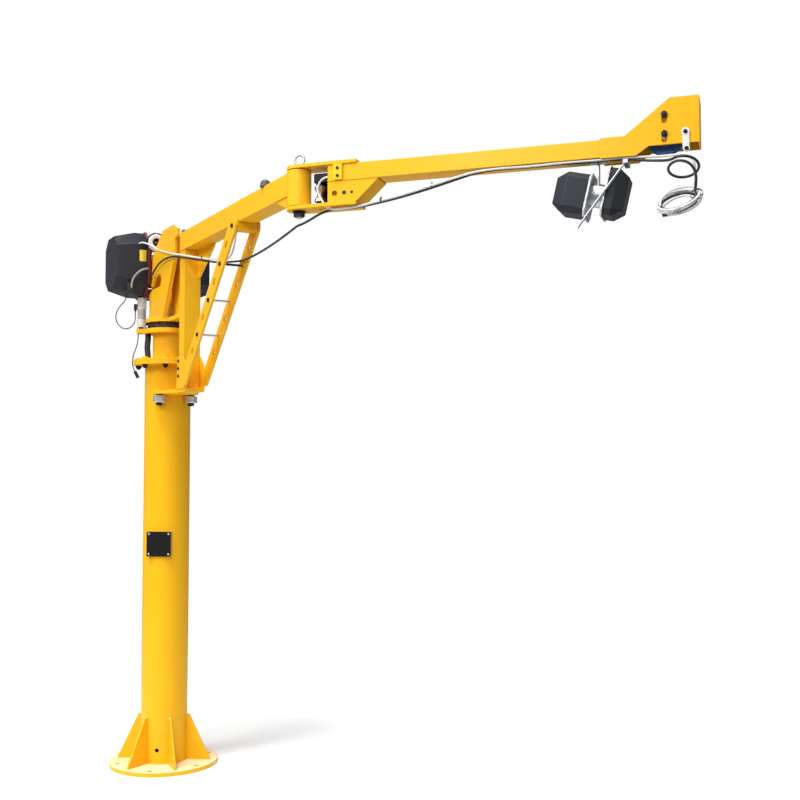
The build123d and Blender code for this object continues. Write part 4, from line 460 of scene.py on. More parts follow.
@dataclass(frozen=True)
class Place:
    """A point with three axes. Shapes are drawn from it in millimetres."""

    origin: Vector
    x: Vector
    y: Vector
    z: Vector

    def at(self, along: float, sideways: float, up: float) -> Vector:
        """Point at a distance along each axis, in metres."""
        return self.origin + (self.x * along + self.y * sideways + self.z * up) * MM

    def turned(self, along: float, sideways: float, up: float, normal: Vector, mark: Vector) -> "Place":
        """A place at a point, whose z is a normal and whose x is as near to a mark as it can be.

        Args:
            along: distance along x.
            sideways: distance along y.
            up: distance along z.
            normal: direction of the new z.
            mark: direction that the new x leans to.

        Returns:
            The new place.
        """
        z = normal.normalized()
        x = (mark - z * mark.dot(z)).normalized()
        return Place(self.at(along, sideways, up), x, z.cross(x), z)

    def upright(self, along: float, sideways: float, up: float) -> "Place":
        """The same axes at another point."""
        return self.turned(along, sideways, up, self.z, self.x)

    def hanging(self, along: float, sideways: float, up: float) -> "Place":
        """A place that looks down from a point."""
        return self.turned(along, sideways, up, -self.z, self.x)

    def near_face(self, along: float, sideways: float, up: float) -> "Place":
        """A place that looks out to the near side."""
        return self.turned(along, sideways, up, -self.y, self.x)

    def far_face(self, along: float, sideways: float, up: float) -> "Place":
        """A place that looks out to the far side."""
        return self.turned(along, sideways, up, self.y, self.x)

    def sides(self, along: float, reach: float, up: float) -> tuple["Place", "Place"]:
        """Places that look out from the near and the far side, each at a reach from the middle."""
        return self.near_face(along, -reach, up), self.far_face(along, reach, up)

    def about(self, degrees: float) -> "Place":
        """The same point with x and y turned about z."""
        turn = Matrix.Rotation(math.radians(degrees), 3, self.z)
        return Place(self.origin, turn @ self.x, turn @ self.y, self.z)

    def rays(self, count: int, start: float) -> list["Place"]:
        """Equal turns about z, the first at a start in degrees."""
        return [self.about(start + 360 * k / count) for k in range(count)]


CRANE = Place(Vector(), Vector((1, 0, 0)), Vector((0, 1, 0)), Vector((0, 0, 1)))
JOINTS = {joint["name"]: joint for joint in frame["joints"]}


def folded_place() -> Place:
    """Find the outer arm's own place from the frame's joints.

    Returns:
        A place at the floor under the elbow's axis, with x along the arm and z up.
    """
    elbow = Vector(JOINTS["elbow"]["pos_m"])
    across = Vector(JOINTS["tip_sheave_spin"]["axis"]).normalized()
    return Place(Vector((elbow.x, elbow.y, 0.0)), across.cross(CRANE.z), across, CRANE.z)


ARM = folded_place()


def span(node: str, axis: str = "z") -> tuple[float, float]:
    """A solid's two ends along an axis, in millimetres."""
    low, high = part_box(node)
    return getattr(low, axis) / MM, getattr(high, axis) / MM


def corners(half_x: float, half_y: float) -> list[tuple[float, float]]:
    """The four corners of a rectangle about its middle."""
    return [(x, y) for x in (-half_x, half_x) for y in (-half_y, half_y)]


def arc(place: Place, radius: float, start: float, end: float, steps: int) -> list[Vector]:
    """Points round a place's z axis.

    Args:
        place: centre and axes.
        radius: in millimetres.
        start: first angle in degrees.
        end: last angle in degrees.
        steps: number of spans.

    Returns:
        The points, both ends included.
    """
    angles = [math.radians(start + (end - start) * k / steps) for k in range(steps + 1)]
    return [place.at(radius * math.cos(turn), radius * math.sin(turn), 0) for turn in angles]


def spaced(line: Sequence[Vector], step: float) -> list[Vector]:
    """Points a step apart along a line.

    Args:
        line: corners of the line.
        step: distance in metres.

    Returns:
        Evenly spaced points, both ends included.
    """
    points: list[Vector] = []
    for start, end in zip(line, line[1:]):
        count = max(1, round((end - start).length / step))
        points.extend(start.lerp(end, k / count) for k in range(count))
    return points + [line[-1]]


def length_of(line: Sequence[Vector]) -> float:
    """Length of a line in metres."""
    return sum((end - start).length for start, end in zip(line, line[1:]))


Radius = Callable[[float], float]


class Form:
    """Vertices and faces of one piece, gathered shape by shape."""

    wobble = random.Random(41)
    hexagon_steps = 24
    band_steps = 40

    def __init__(self) -> None:
        """Start with nothing drawn."""
        self.points: list[Vector] = []
        self.faces: list[tuple[int, ...]] = []
        self.tones: list[int] = []

    def _face(self, tone: int, *corners: int) -> None:
        """Add one face."""
        self.faces.append(corners)
        self.tones.append(tone)

    def skin(self, rings: Sequence[Sequence[Vector]], tone: int = 0, ring_shut: bool = False) -> None:
        """Stretch a skin over rings of points.

        Args:
            rings: rings of as many points each, anticlockwise about the way they go.
            tone: which of the piece's finishes it takes.
            ring_shut: join the last ring to the first, in place of end faces.
        """
        first = len(self.points)
        count = len(rings[0])
        for ring in rings:
            self.points.extend(ring)
        spans = len(rings) if ring_shut else len(rings) - 1
        for span in range(spans):
            low = first + span * count
            high = first + (span + 1) % len(rings) * count
            for k in range(count):
                turn = (k + 1) % count
                self._face(tone, low + k, low + turn, high + turn, high + k)
        if not ring_shut:
            last = first + (len(rings) - 1) * count
            self._face(tone, *reversed(range(first, first + count)))
            self._face(tone, *range(last, last + count))

    def turned(self, place: Place, profile: Sequence[tuple[float, float]], tone: int = 0,
               sides: int = 32, hollow: bool = False) -> None:
        """Turn a profile about a place's z axis.

        Args:
            place: foot and axis.
            profile: radius and height of each corner, from the foot up.
            tone: which finish.
            sides: faces round the axis.
            hollow: the profile is a closed ring section.
        """
        rings = []
        for radius, height in profile:
            turns = [math.tau * k / sides for k in range(sides)]
            rings.append([place.at(radius * math.cos(t), radius * math.sin(t), height) for t in turns])
        self.skin(rings, tone, ring_shut=hollow)

    def rod(self, place: Place, thick: float, length: float, tone: int = 0, sides: int = 20) -> None:
        """Plain round bar up from a place, by its diameter and length."""
        self.turned(place, [(thick / 2, 0.0), (thick / 2, length)], tone, sides)

    def hexagon(self, place: Place, across: float, height: float, tone: int = 0, nut: bool = False) -> None:
        """Hexagon head or nut with turned chamfers.

        Args:
            place: foot and axis.
            across: size across the flats.
            height: height of the head.
            tone: which finish.
            nut: chamfer the foot as well.
        """
        flat = across / 2
        face = 0.94 * flat
        turns = [math.tau * k / self.hexagon_steps for k in range(self.hexagon_steps)]
        reach = [flat / math.cos((turn + math.pi / 6) % (math.pi / 3) - math.pi / 6) for turn in turns]
        slopes = [(radius - face) * math.tan(math.radians(30)) for radius in reach]
        low = [(face, 0.0 if nut else -0.02)] * len(turns)
        foot = [(radius, slope if nut else 0.0) for radius, slope in zip(reach, slopes)]
        shoulder = [(radius, height - slope) for radius, slope in zip(reach, slopes)]
        top = [(face, height)] * len(turns)
        rings = []
        for level in (low, foot, shoulder, top):
            rings.append([
                place.at(radius * math.cos(turn), radius * math.sin(turn), rise)
                for turn, (radius, rise) in zip(turns, level)
            ])
        self.skin(rings, tone)

    def bolt_head(self, place: Place, size: float, height: float, spin: float = 0.0, tone: int = 0,
                  nut: bool = False) -> None:
        """Hexagon on a flat washer, in the shares of a standard bolt.

        Args:
            place: foot and axis.
            size: the bolt's diameter.
            height: of the washer and the hexagon together.
            spin: turn of the hexagon in degrees.
            tone: which finish.
            nut: chamfer the hexagon's foot as well.
        """
        self.washer(place, WASHER_OUTER * size, WASHER_INNER * size, WASHER_T, tone)
        raised = place.upright(0, 0, WASHER_T).about(spin)
        self.hexagon(raised, ACROSS_SHARE * size, height - WASHER_T, tone, nut)

    def screw_tail(self, place: Place, size: float, length: float, tone: int = 0) -> None:
        """Threaded end of a bolt with a chamfered point.

        Args:
            place: where it comes out, and its axis.
            size: diameter.
            length: how far it stands out.
            tone: which finish.
        """
        radius = size / 2
        pitch = 0.13 * size
        profile = [(radius, -pitch)]
        for turn in range(int((length - pitch) / pitch)):
            profile += [(0.89 * radius, (turn + 0.5) * pitch), (radius, (turn + 1.0) * pitch)]
        profile += [(0.89 * radius, length - 0.4 * pitch), (0.78 * radius, length)]
        self.turned(place, profile, tone, sides=20)

    def washer(self, place: Place, outer: float, inner: float, thick: float, tone: int = 0) -> None:
        """Flat washer with broken edges.

        Args:
            place: foot and axis.
            outer: outer radius.
            inner: radius of its hole.
            thick: its thickness.
            tone: which finish.
        """
        rim = 0.25 * thick
        profile = [(inner, 0.0), (outer - rim, 0.0), (outer, rim)]
        profile += [(outer, thick - rim), (outer - rim, thick), (inner, thick)]
        self.turned(place, profile, tone, hollow=True)

    def block(self, place: Place, size: tuple[float, float, float], edge: float, tone: int = 0) -> None:
        """Block with broken edges.

        Args:
            place: middle of its foot.
            size: along x, y and z.
            edge: width of the broken edges.
            tone: which finish.
        """
        half_x, half_y = size[0] / 2, size[1] / 2
        rings = []
        for inset, height in ((edge, 0.0), (0.0, edge), (0.0, size[2] - edge), (edge, size[2])):
            x, y = half_x - inset, half_y - inset
            outline = [(x, edge - y), (x, y - edge), (x - edge, y), (edge - x, y)]
            outline += [(-px, -py) for px, py in outline]
            rings.append([place.at(px, py, height) for px, py in outline])
        self.skin(rings, tone)

    def swept(self, line: Sequence[Vector], radius: Radius, tone: int = 0, sides: int = 12) -> None:
        """Round bar along a line.

        Args:
            line: points of its middle, in metres.
            radius: its radius in metres at a distance along it.
            tone: which finish.
            sides: faces round it.
        """
        rings = []
        side = None
        run = 0.0
        for k, point in enumerate(line):
            way = (line[min(k + 1, len(line) - 1)] - line[max(k - 1, 0)]).normalized()
            mark = side if side is not None else way.orthogonal()
            side = (mark - way * mark.dot(way)).normalized()
            across = way.cross(side)
            run += (point - line[k - 1]).length if k else 0.0
            turns = [math.tau * step / sides for step in range(sides)]
            reach = radius(run)
            rings.append([point + (side * math.cos(t) + across * math.sin(t)) * reach for t in turns])
        self.skin(rings, tone)

    def bead(self, line: Sequence[Vector], leg: float, tone: int = 0) -> None:
        """Rippled weld bead.

        Args:
            line: the seam, in metres.
            leg: half its width in millimetres.
            tone: which finish.
        """
        ripple = 1.7 * leg * MM
        phase = self.wobble.uniform(0.0, math.tau)
        drift = self.wobble.uniform(0.05, 0.12)

        def radius(run: float) -> float:
            """Half width at a distance along the seam."""
            slow = drift * math.sin(run / (9 * ripple) + 2 * phase)
            return leg * MM * (1.0 + 0.10 * math.sin(math.tau * run / ripple + phase) + slow)

        self.swept(spaced(line, ripple / 4), radius, tone, sides=7)

    def seam(self, place: Place, start: Point, end: Point, leg: float) -> None:
        """Straight weld bead between two points of a place, by half its width."""
        self.bead([place.at(*start), place.at(*end)], leg)

    def band(self, place: Place, half: tuple[float, float], width: float, thick: float) -> None:
        """Closed strap round a place's z axis.

        Args:
            place: its middle.
            half: inner half sizes along x and y.
            width: along z.
            thick: of the strap.
        """
        rings = []
        for k in range(self.band_steps):
            turn = math.tau * k / self.band_steps
            section = []
            for grow, level in ((0.0, -0.5), (0.0, 0.5), (thick, 0.5), (thick, -0.5)):
                x = (half[0] + grow) * math.cos(turn)
                y = (half[1] + grow) * math.sin(turn)
                section.append(place.at(x, y, level * width))
            rings.append(section)
        self.skin(rings, ring_shut=True)

    def piece(self, name: str, body: Body, finishes: Sequence[Finish], stands_for: Sequence[str] = (),
              crease: float = 38.0) -> bpy.types.Object:
        """Make the drawn shapes into one piece of the crane.

        Args:
            name: the piece's name.
            body: the body that it moves with.
            finishes: its finishes, the main one first.
            stands_for: solids that it takes the place of.
            crease: edges sharper than this many degrees stay sharp.

        Returns:
            The new object.
        """
        made = self.mesh_object(name, finishes, crease)
        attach(made, body.value)
        if stands_for:
            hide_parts(*stands_for)
        LOG.info("%s on %s: %d faces", name, body.value, len(self.faces))
        return made

    def mesh_object(self, name: str, finishes: Sequence[Finish], crease: float = 38.0) -> bpy.types.Object:
        """Make the drawn shapes into a mesh object, not yet on a body.

        Args:
            name: the object's name.
            finishes: its finishes, the main one first.
            crease: edges sharper than this many degrees stay sharp.

        Returns:
            The new object.
        """
        mesh = bpy.data.meshes.new(name)
        mesh.from_pydata(self.points, [], self.faces)
        for finish in finishes:
            mesh.materials.append(finish.material())
        for polygon, tone in zip(mesh.polygons, self.tones):
            polygon.material_index = tone
            polygon.use_smooth = True
        mesh.set_sharp_from_angle(angle=math.radians(crease))
        made = bpy.data.objects.new(name, mesh)
        bpy.context.scene.collection.objects.link(made)
        return made


def dress(finish: Finish, edge: float, *nodes: str) -> None:
    """Give solids their finish and rounded arrises.

    Args:
        finish: the surface.
        edge: radius of the arrises in millimetres, or 0 for none.
        nodes: names of the solids.
    """
    for node in nodes:
        solid = frame["nodes"][node]
        solid.data.materials.clear()
        solid.data.materials.append(finish.material())
        for polygon in solid.data.polygons:
            polygon.material_index = 0
            polygon.use_smooth = True
        weld = solid.modifiers.new("weld", "WELD")
        weld.merge_threshold = 0.00001
        flat = solid.modifiers.new("flat", "DECIMATE")
        flat.decimate_type = "DISSOLVE"
        flat.angle_limit = math.radians(0.6)
        if edge:
            bevel = solid.modifiers.new("arris", "BEVEL")
            bevel.width = edge * MM
            bevel.segments = 3
            bevel.limit_method = "ANGLE"
            bevel.angle_limit = math.radians(28)
            bevel.miter_outer = "MITER_ARC"
        normals = solid.modifiers.new("normals", "WEIGHTED_NORMAL")
        normals.weight = 80
        LOG.info("%s dressed in %s", node, finish.name)


# Cables


def spline_curve(name: str, route: Sequence[Vector]) -> bpy.types.Curve:
    """NURBS curve with a route's points as its control points.

    Args:
        name: the curve's name.
        route: control points in metres.

    Returns:
        The curve, with no thickness.
    """
    curve = bpy.data.curves.new(name, "CURVE")
    curve.dimensions = "3D"
    spline = curve.splines.new("NURBS")
    spline.points.add(len(route) - 1)
    for point, place in zip(spline.points, route):
        point.co = (*place, 1.0)
    spline.order_u = 3
    spline.use_endpoint_u = True
    spline.resolution_u = 10
    curve.resolution_u = 10
    return curve


def smooth_line(route: Sequence[Vector]) -> list[Vector]:
    """Follow a route's NURBS spline.

    Args:
        route: control points in metres.

    Returns:
        Points along the spline, read from the curve itself.
    """
    curve = spline_curve("route", route)
    holder = bpy.data.objects.new("route", curve)
    mesh = bpy.data.meshes.new_from_object(holder)
    line = [vertex.co.copy() for vertex in mesh.vertices]
    bpy.data.objects.remove(holder)
    bpy.data.meshes.remove(mesh)
    bpy.data.curves.remove(curve)
    return line


@dataclass
class Cable:
    """A free cable: its route, thickness in millimetres, sheath and what its far end goes into."""

    name: str
    route: Sequence[Vector]
    thick: float
    sheath: Sheath
    stands_for: Sequence[str]
    far_end: FarEnd
    lay: Lay
    fittings: Sequence[bpy.types.Object] = ()
    stiffness: str = "medium"

    def declare(self, made: bpy.types.Object, path: Optional[list[Vector]] = None) -> bpy.types.Object:
        """Hide the solids that this cable takes the place of, and log its real length.

        Args:
            made: the cable's object.
            path: points that a mesh tube follows.

        Returns:
            The object.
        """
        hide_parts(*self.stands_for)
        length = length_of(path if path else smooth_line(self.route))
        self.thick * MM
        LOG.info("%s: %.0f mm", self.name, length / MM)
        return made

    def round_cable(self, body: Body) -> bpy.types.Object:
        """Plain round cable.

        Args:
            body: the body that it rides.

        Returns:
            The cable's object.
        """
        curve = spline_curve(self.name, self.route)
        curve.bevel_depth = self.thick / 2 * MM
        curve.bevel_resolution = 4
        curve.use_fill_caps = True
        curve.materials.append(self.sheath.material())
        made = bpy.data.objects.new(self.name, curve)
        bpy.context.scene.collection.objects.link(made)
        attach(made, body.value)
        return self.declare(made)

    def ribbed_conduit(self, body: Body, pitch: float, depth: float) -> bpy.types.Object:
        """Corrugated conduit.

        Args:
            body: the body that it rides.
            pitch: of its ribs.
            depth: of its ribs.

        Returns:
            The conduit's object.
        """
        line = smooth_line(self.route)
        form = Form()

        def radius(run: float) -> float:
            """Half thickness at a distance along the conduit."""
            wave = 0.5 - 0.5 * math.cos(math.tau * run / (pitch * MM))
            return (self.thick / 2 - depth * wave) * MM

        form.swept(spaced(line, pitch * MM / 6), radius, sides=16)
        made = form.mesh_object(self.name, [self.sheath])
        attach(made, body.value)
        return self.declare(made, line)

    def folding_cable(self, bend_start: Vector, bend_end: Vector) -> bpy.types.Object:
        """Cable that crosses the elbow.

        Args:
            bend_start: where it leaves the inner arm; not used.
            bend_end: where it joins the outer arm; not used.

        Returns:
            The cable's object.
        """
        line = smooth_line(self.route)
        form = Form()
        form.swept(line, lambda run: self.thick / 2 * MM, sides=14)
        made = form.mesh_object(self.name, [self.sheath])
        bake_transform(made)
        return self.declare(made, line)


# Sub-assemblies of the crane


@dataclass
class Foot:
    """Base plate, ribs, column and the access cover."""

    rib_count: int = 6
    rib_turn: float = -4.0
    rib_t: float = 10.0
    rib_h: float = 215.0
    rib_foot: float = 114.0
    column_leg: float = 4.0
    rib_leg: float = 3.4
    toe_leg: float = 3.0
    weld_stop: float = 2.0
    cover_turn: float = -35.0
    cover_z: float = 1050.0
    cover_face: float = 117.5
    screw_half: float = 48.0
    screw_d: float = 11.0
    shank_d: float = 6.0

    def make(self) -> None:
        """Dress the solids, then add welds and screws."""
        dress(YELLOW, 1.2, "column_tube")
        # The base plate and ribs carry painted top light on their upward faces, as well as dust.
        dress(DUSTY_TOP_LIT_YELLOW, 1.6, "base_plate", "base_gussets")
        dress(ZINC, 0.6, "cover_frame")
        dress(BLACK, 0.9, "access_cover")
        self.weld_ribs()
        self.drive_screws()

    def weld_ribs(self) -> None:
        """Beads along each rib and round the column's foot."""
        plate_top = span("base_plate")[1]
        root = span("column_tube", "x")[1]
        toe = root + self.rib_foot
        rib_top = plate_top + self.rib_h - self.weld_stop
        half = self.rib_t / 2
        beads = Form()
        beads.bead(arc(CRANE.upright(0, 0, plate_top), root, 0, 360, 120), self.column_leg)
        for rib in CRANE.rays(self.rib_count, self.rib_turn):
            for side in (-half, half):
                beads.seam(rib, (root, side, rib_top), (root, side, plate_top), self.rib_leg)
                beads.seam(rib, (root, side, plate_top), (toe, side, plate_top), self.rib_leg)
            beads.seam(rib, (toe, -half, plate_top), (toe, half, plate_top), self.toe_leg)
        beads.piece("base_welds", Body.COLUMN, [WELD])

    def drive_screws(self) -> None:
        """Four pan-head screws with hexagon sockets in the cover's corners."""
        service = CRANE.about(self.cover_turn)
        radius = self.screw_d / 2
        head = [
            (radius, 0.0), (radius, 0.6), (0.92 * radius, 1.7), (0.72 * radius, 2.6), (0.5 * radius, 3.0),
            (0.47 * radius, 2.8), (0.47 * radius, 1.2),
        ]
        shank = [(self.shank_d / 2, -6.0), (self.shank_d / 2, -0.1)]
        screws = Form()
        for across, rise in corners(self.screw_half, self.screw_half):
            spot = service.turned(self.cover_face, across, self.cover_z + rise, service.x, service.z)
            screws.turned(spot, head, sides=24)
            screws.turned(spot, shank, sides=16)
        screws.piece("cover_screw_set", Body.COLUMN, [ZINC], stands_for=["cover_screws"])


@dataclass
class Neck:
    """Bolted flanges, neck, bearing seat, bearing and the two short lines beside them."""

    bolt_count: int = 8
    bolt_circle: float = 282.0
    bolt_size: float = 16.0
    stop_turn: float = -108.0
    stop_reach: float = 132.0
    ring_bolts: int = 16
    ring_bolt_r: float = 105.2
    ring_bolt_d: float = 5.0
    ring_across: float = 8.0
    ring_washer: Point = (4.6, 2.0, 1.0)
    ring_tail: float = 4.0
    weld_leg: float = 4.2
    sensor_d: float = 5.0

    def make(self) -> None:
        """Dress the solids, then add bolts, welds and the sensor's cable."""
        dress(YELLOW, 1.5, "column_flange", "neck_flange", "bearing_seat")
        dress(YELLOW, 0.8, "neck_tube")
        # The bearing's rings take steel whose brown tint is painted reflection and painted shade.
        dress(BEARING_PAINTED_REFLECTION, 0.8, "bearing_fixed_ring", "bearing_turning_ring")
        dress(BLACK_SHEATH, 0.0, "supply_hose")
        dress(BLACK_SHEATH, 1.0, "sensor_plug")
        self.bolt_flanges()
        self.bolt_bearing()
        self.weld_tubes()
        self.run_sensor_cable()

    def bolt_flanges(self) -> None:
        """Hexagon bolts with washers and nuts, and the stop bolt."""
        size, reach = self.bolt_size, self.bolt_circle / 2
        head, nut = HEAD_SHARE * size, NUT_SHARE * size
        top, foot = span("neck_flange")[1], span("column_flange")[0]
        bolts = Form()
        for k, ray in enumerate(CRANE.rays(self.bolt_count, 180 / self.bolt_count)):
            spin = 17.0 * (k * 7 % 5)
            bolts.bolt_head(ray.upright(reach, 0, top), size, head, spin, tone=1)
            bolts.rod(ray.upright(reach, 0, foot - 1), size, top - foot + 2)
            bolts.bolt_head(ray.hanging(reach, 0, foot), size, nut, spin + 11, nut=True)
            bolts.screw_tail(ray.hanging(reach, 0, foot - nut), size, TAIL_SHARE * size)
        seat_foot, seat_top = span("bearing_seat")
        stop = CRANE.about(self.stop_turn)
        bolts.bolt_head(stop.upright(self.stop_reach, 0, seat_top), size, head)
        bolts.rod(stop.upright(self.stop_reach, 0, seat_foot), size, seat_top - seat_foot)
        bolts.piece("flange_bolt_set", Body.COLUMN, [BLACKENED, YELLOW], stands_for=["flange_bolts"])

    def bolt_bearing(self) -> None:
        """Ring of small bolts on each side of the bearing's gap."""
        washer_t = self.ring_washer[2]
        for name, body, foot, height, start in (
            ("bearing_seat_bolts", Body.COLUMN, span("bearing_seat")[1], 9.0, 9.0),
            ("bearing_plate_bolts", Body.INNER, span("slewing_plate")[0], 12.0, 0.0),
        ):
            shank = height - self.ring_tail
            bolts = Form()
            for k, ray in enumerate(CRANE.rays(self.ring_bolts, start)):
                way = ray.upright if body is Body.COLUMN else ray.hanging
                spot = way(self.ring_bolt_r, 0, foot)
                bolts.washer(spot, *self.ring_washer)
                raised = spot.upright(0, 0, washer_t).about(13.0 * k)
                bolts.hexagon(raised, self.ring_across, shank - washer_t)
                bolts.screw_tail(spot.upright(0, 0, shank), self.ring_bolt_d, self.ring_tail)
            bolts.piece(name, body, [BLACKENED])

    def weld_tubes(self) -> None:
        """Beads round the column's top and both ends of the neck."""
        column_r, neck_r = span("column_tube", "x")[1], span("neck_tube", "x")[1]
        seams = [(column_r, span("column_flange")[0])]
        seams += [(neck_r, end) for end in span("neck_tube")]
        beads = Form()
        for radius, height in seams:
            beads.bead(arc(CRANE.upright(0, 0, height), radius, 0, 360, 100), self.weld_leg)
        beads.piece("neck_welds", Body.COLUMN, [WELD])

    def run_sensor_cable(self) -> None:
        """Thin cable from the stop lug down past the flanges to its plug."""
        stop = CRANE.about(self.stop_turn)
        route = [
            (144, 2064), (144, 2034), (153, 1994), (166, 1961), (170, 1928), (168, 1900), (158, 1880),
        ]
        Cable(
            "sensor_lead", [stop.at(reach, 0, height) for reach, height in route], self.sensor_d,
            BLACK_SHEATH, ["sensor_cable"], FarEnd.PLUG, Lay.HANGING, [frame["nodes"]["sensor_plug"]],
        ).round_cable(Body.COLUMN)


@dataclass
class InnerArm:
    """Slewing plate, welded head, post, arm and gussets."""

    head_y: float = 52.0
    stiffener_y: float = 59.2
    stiffener_x: float = -60.0
    plate_r: float = 110.0
    tongue_half: float = 32.0
    gusset_t: float = 10.0
    gusset_y: float = 30.0
    gusset_reach: float = 205.0
    gusset_drop: float = 130.0
    foot_back: float = 20.0
    foot_front: float = 44.0
    head_leg: float = 3.6
    arm_leg: float = 3.4
    gusset_leg: float = 3.2
    grommet: tuple[float, float] = (300.0, -24.0)
    buffer: tuple[float, float] = (1292.0, -30.0)
    tab: tuple[float, float] = (1036.0, -26.0)
    tab_size: Point = (24.0, 8.0, 10.0)
    tab_sunk: float = 0.4

    def make(self) -> None:
        """Dress the solids, then add the welds and the fittings on top of the arm."""
        dress(YELLOW, 1.5, "slewing_plate", "slewing_head", "arm_gussets")
        dress(YELLOW, 5.0, "post_tube", "inner_arm_box")
        self.weld_head()
        self.weld_arm()
        self.top_fittings()

    def top_fittings(self) -> None:
        """Grommet at the arm's rear, a welded tab and a rubber buffer, all on its top."""
        top = span("inner_arm_box")[1]
        grommet = [
            (14.5, -0.4), (14.5, 3.0), (13.0, 5.0), (11.5, 12.0), (9.5, 14.0), (6.0, 14.0), (5.0, 9.0),
        ]
        dome = [
            (22.0, -0.3), (22.0, 3.6), (20.5, 4.2), (19.5, 13.0), (17.6, 20.0), (13.0, 25.0), (6.0, 27.6),
        ]
        tab_x, tab_y = self.tab
        tab_foot = top - self.tab_sunk
        fittings = Form()
        fittings.turned(CRANE.upright(*self.grommet, top), grommet, sides=36)
        fittings.turned(CRANE.upright(*self.buffer, top), dome, tone=2, sides=40)
        fittings.block(CRANE.upright(tab_x, tab_y, tab_foot), self.tab_size, 1.2, tone=1)
        face = CRANE.near_face(tab_x, tab_y - self.tab_size[1] / 2, tab_foot + self.tab_size[2] / 2)
        fittings.hexagon(face, 8.0, 3.4, tone=1)
        fittings.piece("arm_top_fittings", Body.INNER, [SEAM, YELLOW, RUBBER])

    def weld_head(self) -> None:
        """Beads between the head's plates and the slewing plate, and at the plate's tongue."""
        foot, top = span("slewing_plate")
        front = math.sqrt(self.plate_r**2 - self.stiffener_y**2)
        rear = -math.sqrt(self.plate_r**2 - self.head_y**2)
        post_back = span("post_tube", "x")[0]
        beads = Form()
        for side in (-1, 1):
            edge, plate = side * self.stiffener_y, side * self.head_y
            beads.seam(CRANE, (self.stiffener_x, edge, top), (front, edge, top), self.head_leg)
            beads.seam(CRANE, (rear, plate, top), (self.stiffener_x - 1, plate, top), self.head_leg)
        for height in (foot, top):
            ends = [(post_back, side, height) for side in (-self.tongue_half, self.tongue_half)]
            beads.seam(CRANE, *ends, self.head_leg)
        beads.piece("head_welds", Body.INNER, [WELD])

    def weld_arm(self) -> None:
        """Beads at the post's top, the gusset and the foot plates."""
        back, front = span("post_tube", "x")
        foot, top = span("post_tube")
        side = span("post_tube", "y")[1]
        half = self.gusset_t / 2
        beads = Form()
        for across in (-side, side):
            beads.seam(CRANE, (back, across, top), (front, across, top), self.arm_leg)
        for across in (self.gusset_y - half, self.gusset_y + half):
            root = (front, across, top)
            beads.seam(CRANE, root, (front + self.gusset_reach, across, top), self.gusset_leg)
            beads.seam(CRANE, root, (front, across, top - self.gusset_drop), self.gusset_leg)
        for across in span("arm_gussets", "y"):
            ends = [(x, across, foot) for x in (back - self.foot_back, front + self.foot_front)]
            beads.seam(CRANE, *ends, self.arm_leg)
        beads.piece("arm_welds", Body.INNER, [WELD])


@dataclass
class Struts:
    """Two perforated struts with their spacer rods and the bolts on the foot plates."""

    top: tuple[float, float] = (1003.0, 2410.0)
    foot: tuple[float, float] = (405.0, 1824.0)
    pitch: float = 97.0
    rod_d: float = 10.0
    shade_painted_holes: int = 2
    outer: float = 55.0
    inner: float = 45.0
    head_h: float = 6.0
    washer_t: float = 1.4
    foot_bolt_d: float = 16.0
    foot_bolt_x: float = 300.5
    foot_bolt_z: float = 1838.0
    foot_bolt_pitch: float = 35.0
    foot_bolts: int = 3

    def make(self) -> None:
        """Dress the struts and draw their bolts."""
        dress(YELLOW, 1.4, "strut_near", "strut_far")
        bolts = Form()
        self.fit_rods(bolts)
        self.bolt_feet(bolts)
        bolts.piece("strut_bolt_set", Body.INNER, [BLACKENED, ZINC], stands_for=["strut_bolts"])

    def fit_rods(self, bolts: Form) -> None:
        """Rod through every second hole, with a washer and a hexagon at each end; the upper rods are dark
        steel as painted shade.

        Args:
            bolts: the form that they join.
        """
        run = Vector((self.foot[0] - self.top[0], self.foot[1] - self.top[1]))
        step = run.normalized() * self.pitch
        last = int((run.length - self.pitch) / self.pitch)
        for hole in range(0, last + 1, 2):
            x, z = self.top[0] + step.x * hole, self.top[1] + step.y * hole
            # Rods at the upper holes take dark steel as painted shade; the others are zinc.
            tone = 1 if hole > self.shade_painted_holes else 0
            bolts.rod(CRANE.far_face(x, -self.outer, z), self.rod_d, 2 * self.outer, tone)
            for spot in CRANE.sides(x, self.outer, z):
                bolts.washer(spot, self.rod_d, 0.45 * self.rod_d, self.washer_t)
                raised = spot.upright(0, 0, self.washer_t).about(13.0 * hole)
                bolts.hexagon(raised, 1.6 * self.rod_d, self.head_h - self.washer_t)

    def bolt_feet(self, bolts: Form) -> None:
        """Dome-headed bolts with sockets in the foot plates.

        Args:
            bolts: the form that they join.
        """
        radius = self.foot_bolt_d / 2
        dome = [
            (radius, 0.0), (radius, 1.2), (0.93 * radius, 3.2), (0.75 * radius, 5.0), (0.52 * radius, 5.9),
            (0.48 * radius, 5.6), (0.48 * radius, 2.6),
        ]
        for k in range(self.foot_bolts):
            height = self.foot_bolt_z + k * self.foot_bolt_pitch
            for spot in CRANE.sides(self.foot_bolt_x, self.inner, height):
                bolts.turned(spot, dome, sides=28)


